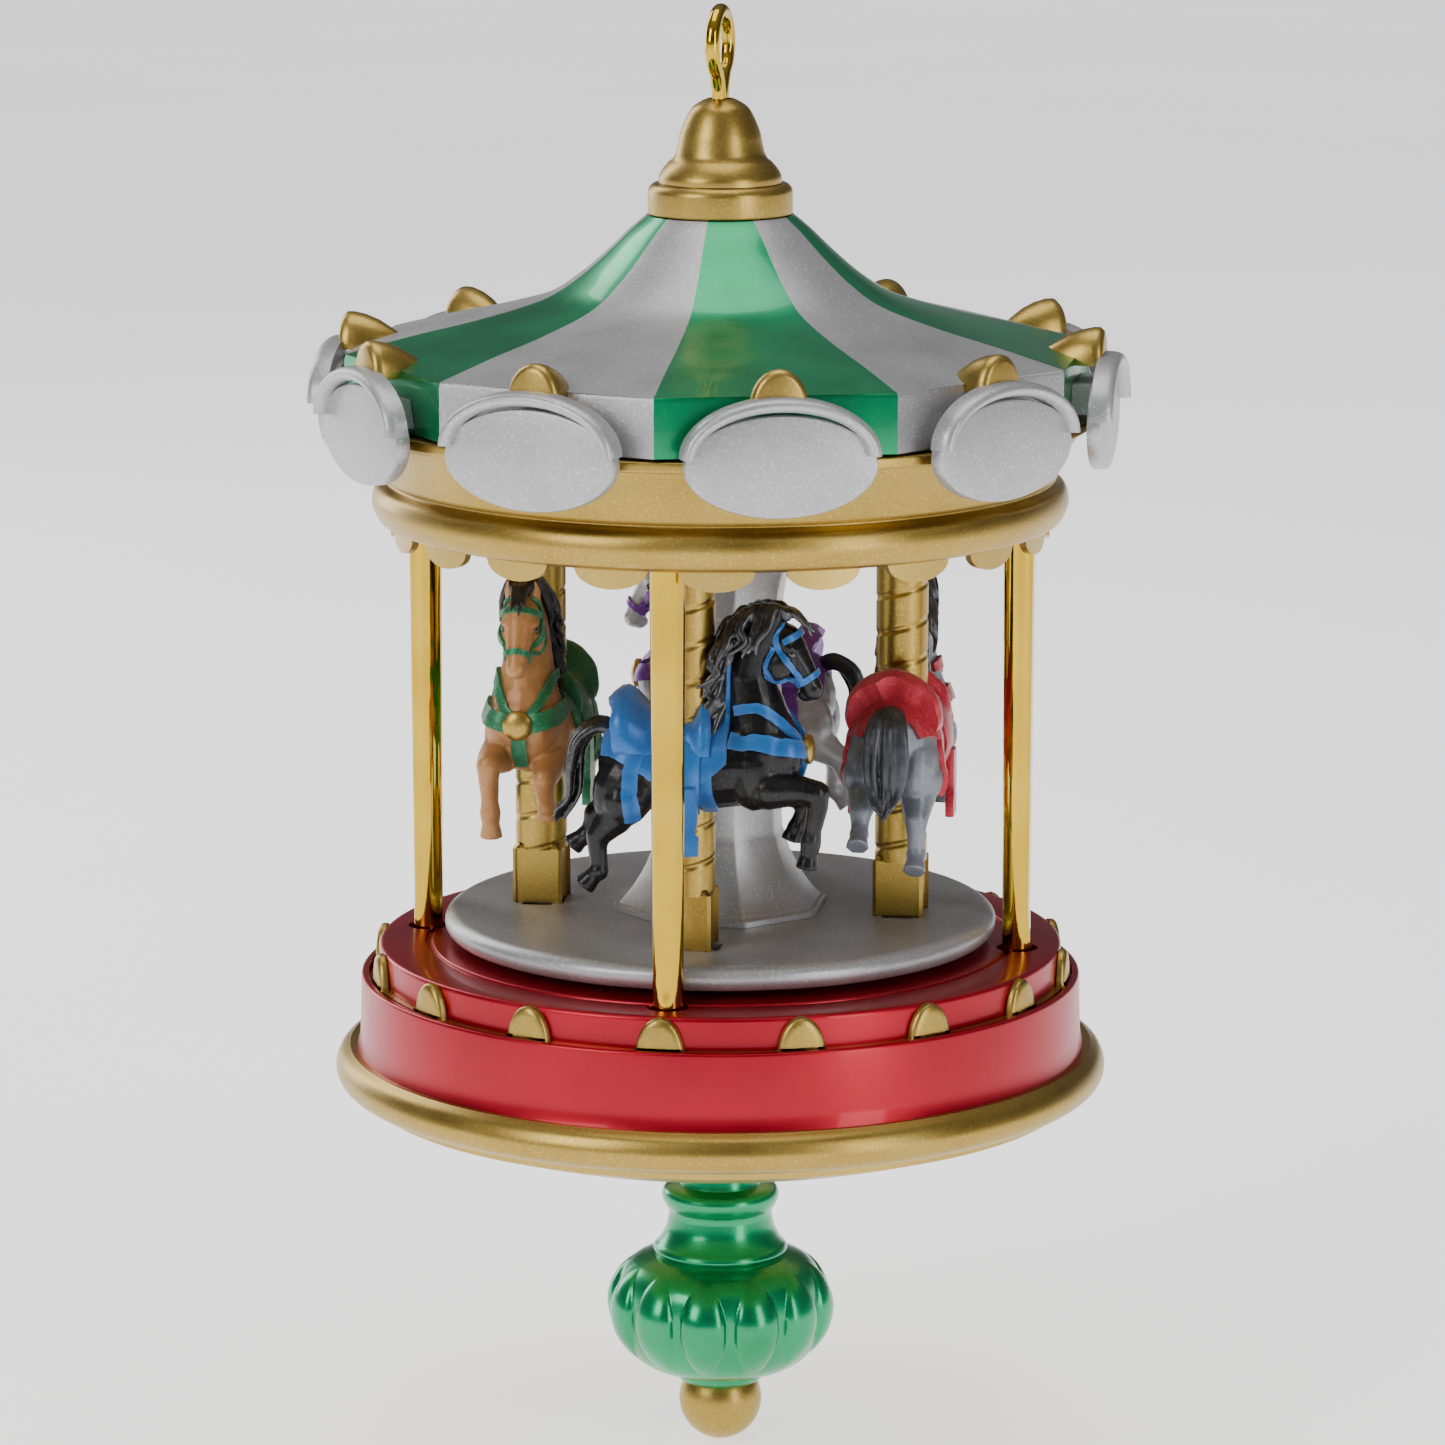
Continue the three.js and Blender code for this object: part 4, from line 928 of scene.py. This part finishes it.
def horse_skin(work):
    """Body, neck, head and the four legs of a leaping horse that looks along +X."""
    ball_part(work, (-5.1, 0, 18.9), (4.4, 4.7, 4.9))
    limb_part(work, [(-3.6, 0, 18.8, 4.5), (1.5, 0, 18.9, 4.45), (6.0, 0, 19.6, 4.6)])
    ball_part(work, (7.9, 0, 20.3), (4.0, 4.3, 4.8))
    limb_part(work, [(7.4, 0, 22.4, 3.7), (6.9, 0, 25.4, 2.95), (6.3, 0, 28.2, 2.45), (6.9, 0, 31.0, 2.2),
                     (8.4, 0, 33.0, 1.9)])
    ball_part(work, (9.7, 0, 32.0), (2.1, 2.0, 2.0), 20)
    ball_part(work, (9.6, 0, 30.0), (1.9, 1.75, 2.1), 20)
    limb_part(work, [(10.3, 0, 31.2, 1.85), (11.6, 0, 29.3, 1.35), (12.5, 0, 27.6, 1.1)])
    ball_part(work, (12.7, 0, 27.1), (1.2, 1.15, 1.1), 40)
    ball_part(work, (11.9, 0, 26.5), (0.85, 0.8, 0.6), 30)
    for side in (-1, 1):
        ball_part(work, (6.9, side * 2.5, 18.9), (3.0, 2.1, 4.1), -15)
        ball_part(work, (9.9, side * 1.7, 20.4), (2.1, 2.1, 2.6))
        ball_part(work, (-6.0, side * 2.6, 17.0), (3.4, 2.3, 4.4), 25)
        ball_part(work, (9.5, side * 1.45, 29.8), (1.5, 0.9, 1.7), 25)
        ball_part(work, (10.6, side * 1.5, 31.6), (0.8, 0.55, 0.45), 25)
        ball_part(work, (13.3, side * 0.62, 27.3), (0.45, 0.35, 0.4))
        limb_part(work, [(8.8, side * 1.15, 33.4, 0.72), (9.2, side * 1.35, 34.7, 0.6),
                         (9.7, side * 1.4, 35.8, 0.16)])
    legs = (
        [(8.6, -2.7, 17.2, 2.1), (11.4, -2.8, 17.3, 1.65), (13.6, -2.8, 17.0, 1.35),
         (13.7, -2.8, 15.6, 1.1), (13.2, -2.8, 13.2, 0.92), (13.0, -2.8, 11.9, 1.12),
         (12.8, -2.8, 10.7, 0.95)],
        [(8.2, 2.6, 16.9, 2.1), (10.2, 2.7, 15.9, 1.6), (12.0, 2.7, 15.4, 1.3), (11.7, 2.7, 14.3, 1.05),
         (11.0, 2.7, 12.9, 0.9), (10.7, 2.7, 12.2, 1.05), (10.5, 2.7, 11.9, 0.9)],
        [(-6.2, -2.6, 15.6, 2.7), (-7.2, -2.7, 13.8, 1.9), (-8.9, -2.8, 11.9, 1.3),
         (-9.0, -2.8, 10.6, 1.02), (-8.8, -2.8, 8.9, 0.92), (-8.9, -2.8, 8.2, 1.1), (-9.5, -2.8, 7.6, 0.92)],
        [(-6.8, 2.6, 15.8, 2.7), (-8.1, 2.7, 14.2, 1.9), (-10.2, 2.8, 12.9, 1.3), (-10.6, 2.8, 11.8, 1.0),
         (-11.0, 2.8, 10.9, 0.92), (-11.3, 2.8, 10.6, 1.05), (-11.8, 2.8, 10.3, 0.9)])
    for leg in legs:
        limb_part(work, leg)
    for foot, toe in (((12.8, -2.8, 10.6), (12.6, -2.8, 9.2)), ((10.5, 2.7, 11.9), (10.2, 2.7, 10.9)),
                      ((-9.5, -2.8, 7.6), (-10.4, -2.8, 6.6)), ((-11.8, 2.8, 10.3), (-12.7, 2.8, 9.5))):
        rod_part(work, foot, toe, 0.95, 1.25)


def lock(work, path, thick, thin):
    """One lock of hair: a chain that tapers from its root to its tip."""
    line = catmull(path, 4)
    count = len(line) - 1
    limb_part(work, [(*p, thick + (thin - thick) * (k / count) ** 0.8) for k, p in enumerate(line)])


def mane(work):
    """Wavy locks that fall back and down from the crest on both sides, and a forelock."""
    draw = random.Random(11)
    crest = catmull([(9.4, 0, 35.0), (7.4, 0, 35.0), (5.3, 0, 33.6), (4.3, 0, 31.2), (4.0, 0, 28.6),
                     (4.2, 0, 26.2), (4.6, 0, 24.8)], 3)
    for k, (x, _, z) in enumerate(crest):
        for side in (-1, 1):
            reach = 2.6 + draw.uniform(-0.4, 0.5)
            fall = 3.4 + draw.uniform(-0.7, 0.9)
            wave = draw.uniform(-0.5, 0.5)
            path = [(x + 0.6, side * 0.5, z - 0.2), (x - 0.4, side * 1.3, z + 0.5),
                    (x - 1.3 + wave, side * reach * 0.85, z - fall * 0.35),
                    (x - 1.5 - wave, side * reach, z - fall * 0.75),
                    (x - 2.5 + wave, side * (reach + 0.1), z - fall * 1.1)]
            lock(work, path, 0.72, 0.18)
        if k % 2 == 0:
            path = [(x, 0, z), (x - 1.2, 0.3, z + 0.4), (x - 2.2, -0.2, z - 1.0), (x - 2.9, 0.2, z - 2.6)]
            lock(work, path, 0.75, 0.2)
    for side, tip in ((-0.5, (12.9, -0.5, 33.2)), (0.1, (12.5, 0.2, 32.7)), (0.6, (12.3, 0.8, 33.4))):
        lock(work, [(9.0, side, 35.0), (10.6, side, 35.1), (11.8, side, 34.1), tip], 0.62, 0.16)


def tail(work):
    """Locks that arch from the dock and sweep down behind the horse."""
    draw = random.Random(5)
    for k in range(11):
        across = (k - 5) / 5
        out = draw.uniform(-0.5, 0.7)
        path = [(-7.2, across * 0.5, 22.0), (-9.2, across * 1.0, 23.2 - 0.4 * abs(across)),
                (-11.3 - out * 0.4, across * 1.7, 21.0 + out), (-11.8 - out, across * 2.0, 18.0),
                (-12.0 - out, across * 1.6, 15.4),
                (-13.4 - out * 0.8, across * 1.0, 12.6 + abs(across) * 1.4)]
        lock(work, path, 0.85, 0.2)


def hit(tree, origin, toward):
    """Where a ray from a point towards another meets the horse, with the normal, in millimetres."""
    start = Vector(origin) * MM
    direction = (Vector(toward) * MM - start).normalized()
    spot, normal, _, _ = tree.ray_cast(start, direction)
    if spot is None:
        return Vector(toward), -direction
    return spot / MM, normal


def near(tree, point):
    """The nearest point of the horse, with its normal, in millimetres."""
    spot, normal, _, _ = tree.find_nearest(Vector(point) * MM)
    return spot / MM, normal


def shell(name, grid, lift, thickness, material):
    """A closed sheet between a grid of (point, normal) lifted off the horse and its outer face.

    lift and thickness are functions of the grid's two shares, 0 to 1."""
    rows, columns = len(grid), len(grid[0])
    inner, outer = [], []
    for i, row in enumerate(grid):
        for j, (spot, normal) in enumerate(row):
            u, v = i / (rows - 1), j / (columns - 1)
            inner.append(spot + normal * lift(u, v))
            outer.append(spot + normal * (lift(u, v) + thickness(u, v)))
    points = inner + outer
    count = rows * columns
    faces = []
    for i in range(rows - 1):
        for j in range(columns - 1):
            a, b = i * columns + j, i * columns + j + 1
            c, d = a + columns, b + columns
            faces.append((a, b, d, c))
            faces.append((count + a, count + c, count + d, count + b))
    rim = list(range(columns))
    rim += [i * columns + columns - 1 for i in range(1, rows)]
    rim += [(rows - 1) * columns + j for j in range(columns - 2, -1, -1)]
    rim += [i * columns for i in range(rows - 2, 0, -1)]
    for a, b in zip(rim, rim[1:] + rim[:1]):
        faces.append((a, b, count + b, count + a))
    return new_object(name, mesh_from(name, points, faces), [material], 50)


def smooth_grid(grid, rounds):
    """Evens out a draped grid so that it bridges hollows."""
    for _ in range(rounds):
        fresh = [list(row) for row in grid]
        for i in range(1, len(grid) - 1):
            for j in range(1, len(grid[0]) - 1):
                around = (grid[i - 1][j], grid[i + 1][j], grid[i][j - 1], grid[i][j + 1])
                spot = sum((g[0] for g in around), Vector()) / 4
                normal = sum((g[1] for g in around), Vector()).normalized()
                fresh[i][j] = ((grid[i][j][0] + spot) / 2, normal)
        grid = fresh
    return grid


def draped(tree, x_range, reach, rows=28, columns=41, axis_height=18.6):
    """A grid laid over the back; reach(x) is the angle from the top that it hangs to."""
    grid = []
    for i in range(rows):
        x = x_range[0] + (x_range[1] - x_range[0]) * i / (rows - 1)
        row = []
        for j in range(columns):
            angle = math.radians(reach(x)) * (2 * j / (columns - 1) - 1)
            away = Vector((x, 20 * math.sin(angle), axis_height + 20 * math.cos(angle)))
            row.append(hit(tree, away, (x, 0, axis_height)))
        grid.append(row)
    return grid


def strap(name, tree, route, width, thickness, material, steps=8):
    """A flat strap that follows the horse's surface along a route."""
    line = [Vector(p) for p in catmull(route, steps)]
    grid = []
    for i, spot in enumerate(line):
        along = (line[min(i + 1, len(line) - 1)] - line[max(i - 1, 0)]).normalized()
        base, normal = near(tree, spot)
        across = along.cross(normal).normalized()
        row = []
        for j in range(5):
            place = base + across * width * (j / 4 - 0.5)
            row.append(near(tree, place))
        grid.append(row)
    return shell(name, smooth_grid(grid, 1), lambda u, v: 0.02, lambda u, v: thickness, material)


def both_sides(route):
    """A route and its mirror image."""
    return [route, [(x, -y, z) for x, y, z in route]]


def joined(name, objects, material):
    """One object out of several."""
    work = bmesh.new()
    for obj in objects:
        work.from_mesh(obj.data)
        bpy.data.objects.remove(obj)
    mesh = bpy.data.meshes.new(name)
    work.to_mesh(mesh)
    work.free()
    return new_object(name, mesh, [material], 50)


def saddle_parts(tree, colour):
    """Blanket, saddle with pommel and cantle, flaps and fenders."""
    def blanket_reach(x):
        share = (x + 8.2) / 12.8
        return 62 + 36 * math.sin(math.pi * min(1, max(0, share)) ** 1.3) + 10 * share

    blanket = smooth_grid(draped(tree, (-8.2, 4.6), blanket_reach), 3)
    parts = [shell("blanket", blanket, lambda u, v: 0.05, lambda u, v: 0.45, colour)]

    def seat_rise(u, v):
        side = abs(2 * v - 1)
        middle = 1 - side ** 2
        cantle = math.exp(-((u - 0.06) / 0.13) ** 2)
        pommel = math.exp(-((u - 0.93) / 0.1) ** 2)
        return 0.35 + middle * (0.5 + 1.9 * cantle + 1.5 * pommel) + 0.5 * cantle * (1 - side)

    seat = smooth_grid(draped(tree, (-6.6, 2.9), lambda x: 64), 3)
    parts.append(shell("seat", seat, lambda u, v: 0.4, seat_rise, colour))
    for side in (-1, 1):
        flap = []
        for i in range(14):
            z = 23.4 - 8.6 * i / 13
            row = []
            for j in range(9):
                spread = 2.6 - 0.9 * (i / 13) ** 2
                x = -0.7 + 0.5 * i / 13 + spread * (j / 4 - 1)
                row.append(hit(tree, (x, side * 20, z), (x, 0, z)))
            flap.append(row)
        parts.append(shell("flap", smooth_grid(flap, 4), lambda u, v: 0.55,
                           lambda u, v: 0.55 - 0.35 * (2 * v - 1) ** 4, colour))
        parts.append(fender(side, colour))
    return parts


def fender(side, colour):
    """The stirrup leather and its flat stirrup that hang below the belly line."""
    y = side * 5.15
    outline = [(-0.5, 17.6), (1.6, 17.6), (1.8, 14.5), (1.5, 12.9), (1.9, 12.4), (1.8, 10.6), (-0.5, 10.4),
               (-0.7, 12.2), (-0.2, 12.9), (-0.6, 14.5)]
    middle = sum((Vector(p) for p in outline), Vector((0, 0))) / len(outline)
    rings = []
    for depth, inset in ((-0.45, 0.12), (-0.3, 0), (0.3, 0), (0.45, 0.12)):
        rings.append([(x + (middle.x - x) * inset * 0.5, y + depth, z + (middle.y - z) * inset * 0.2)
                      for x, z in outline])
    return new_object("fender", mesh_from("fender", *loft(rings, wrap=False)), [colour], 50)


def across(half):
    """A route over the middle line, given from one side up to the middle."""
    return half + [(x, -y, z) for x, y, z in reversed(half[:-1])]


def harness(tree, colour):
    """Breast collar, neck strap, tongue, girth, hind ribbon, cheek pieces and the bridle's bands."""
    straps = (
        ("breast", 1.7, 0.5, both_sides([(4.6, 4.5, 23.0), (7.0, 4.6, 22.6), (9.6, 4.1, 22.0),
                                         (11.4, 2.3, 21.3), (12.2, 0.3, 20.9)])),
        ("neck", 1.0, 0.45, both_sides([(12.0, 0.5, 21.6), (11.2, 1.9, 23.0), (9.8, 2.9, 24.6),
                                        (7.6, 3.2, 25.6), (5.2, 2.6, 25.2)])),
        ("tongue", 1.5, 0.45, [[(12.3, 0, 21.0), (12.1, 0, 19.4), (11.6, 0, 17.8), (10.6, 0, 16.4)]]),
        ("girth", 1.5, 0.4, both_sides([(2.3, 4.6, 19.0), (2.4, 4.4, 16.4), (2.6, 2.6, 14.6),
                                        (2.6, 0, 14.0)])),
        ("ribbon", 1.5, 0.5, both_sides([(-4.6, 4.6, 21.4), (-5.2, 5.2, 18.6), (-5.2, 5.2, 16.0),
                                         (-5.0, 4.6, 13.9)])),
        ("cheek", 0.55, 0.3, both_sides([(9.3, 1.0, 34.0), (9.3, 1.9, 32.2), (10.2, 2.0, 30.4),
                                         (11.6, 1.3, 28.6), (11.9, 1.1, 28.0)])),
        ("band", 0.6, 0.32, [across([(10.0, 1.9, 32.2), (11.4, 1.2, 33.0), (11.8, 0, 33.2)]),
                             across([(11.2, 1.0, 27.6), (12.5, 1.1, 28.5), (13.2, 0, 29.0)]),
                             across([(9.0, 1.8, 31.8), (8.3, 1.2, 29.0), (8.6, 0, 28.0)])]),
        ("rein", 0.6, 0.32, both_sides([(11.9, 1.1, 28.2), (10.6, 1.4, 28.0), (9.6, 1.4, 28.2),
                                        (8.6, 1.5, 29.4)])),
    )
    return [strap(name, tree, route, width, thickness, colour)
            for name, width, thickness, routes in straps for route in routes]


def chest_disc(tree):
    """The domed gold disc on the breast collar."""
    spot, normal = near(tree, (12.4, 0, 21.0))
    profile = [(0.02, 0.1), (1.55, 0.1), (1.55, 0.55), (1.35, 0.75), (0.8, 0.95), (0.02, 1.05)]
    lift = 0.15
    turn = normal.to_track_quat("Z", "Y")
    rings = [[spot + turn @ Vector((r * math.cos(a), r * math.sin(a), z + lift)) for a in around(32)]
             for r, z in profile]
    return new_object("disc", mesh_from("disc", *loft(rings, wrap=False)), [GOLD], 40)


def eye_balls(tree):
    """Two dark eyes let into the head."""
    work = ([], [])
    for side in (-1, 1):
        spot, normal = near(tree, (10.9, side * 2.2, 30.9))
        ball_part(work, spot - normal * 0.1, (0.5, 0.32, 0.42), 25)
    return new_object("eyes", mesh_from("eyes", *work), [EYE], 180)


def copied(source, name, material, turn):
    """A copy of a horse piece moved from the horse's own axes to its place on the platform."""
    mesh = source.data.copy()
    place = Matrix.Rotation(turn, 4, "Z") @ Matrix.Translation(Vector((0, -POLE_CIRCLE, PLATFORM_TOP)) * MM)
    mesh.transform(place)
    mesh.materials.clear()
    mesh.materials.append(material)
    made = bpy.data.objects.new(name, mesh)
    bpy.context.scene.collection.objects.link(made)
    return made


def make_horses():
    """One horse is sculpted once and placed four times, each in its own colours."""
    skin = fused("skin", horse_skin, 0.2, 5, COATS[0])
    hair = fused("hair", mane, 0.16, 1, HAIR[0])
    brush = fused("brush", tail, 0.16, 1, HAIR[0])
    tree = BVHTree.FromObject(skin, bpy.context.evaluated_depsgraph_get())
    tack = joined("tack", saddle_parts(tree, TACK[0]) + harness(tree, TACK[0]), TACK[0])
    disc = chest_disc(tree)
    eyes = eye_balls(tree)
    slots = ["horse_black", "horse_blue_grey", "horse_light_grey", "horse_tan"]
    for i in QUARTERS:
        turn = i * math.pi / 2
        number = i + 1
        body = copied(skin, f"horse_{number}_body", COATS[i], turn)
        settle(body, "turntable", slots[i], f"horse_{number}")
        for part, source, material in (("mane", hair, HAIR[i]), ("tail", brush, HAIR[i]),
                                       ("tack", tack, TACK[i]), ("eyes", eyes, EYE)):
            settle(copied(source, f"horse_{number}_{part}", material, turn), "turntable", slots[i])
        settle(copied(disc, f"horse_{number}_disc", GOLD, turn), "turntable", "gold")
    for source in (skin, hair, brush, tack, disc, eyes):
        bpy.data.objects.remove(source)


# ---------------------------------------------------------------- the CAD nodes that stay

def dress_frame():
    """Hidden movement pieces and the ceiling plate keep their CAD solids."""
    looks = {"drive_shaft": STEEL, "winding_arbor": STEEL, "movement_bedplate": STEEL, "music_comb": STEEL,
             "comb_screw_1": STEEL, "comb_screw_2": STEEL, "governor_fan": STEEL, "spring_barrel": BRASS,
             "pinned_cylinder": BRASS, "governor_frame": BRASS, "ceiling_plate": GOLD}
    for node, material in looks.items():
        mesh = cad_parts[node].data
        mesh.materials.clear()
        mesh.materials.append(material)


make_camera()
make_studio()
make_floor()
make_base()
make_flange()
make_base_studs()
make_cover()
make_columns()
make_cornice()
make_valance()
make_roof()
make_medallions()
make_cap_and_collar()
make_eye()
make_platform()
make_hub()
make_poles()
make_knob()
make_horses()
dress_frame()
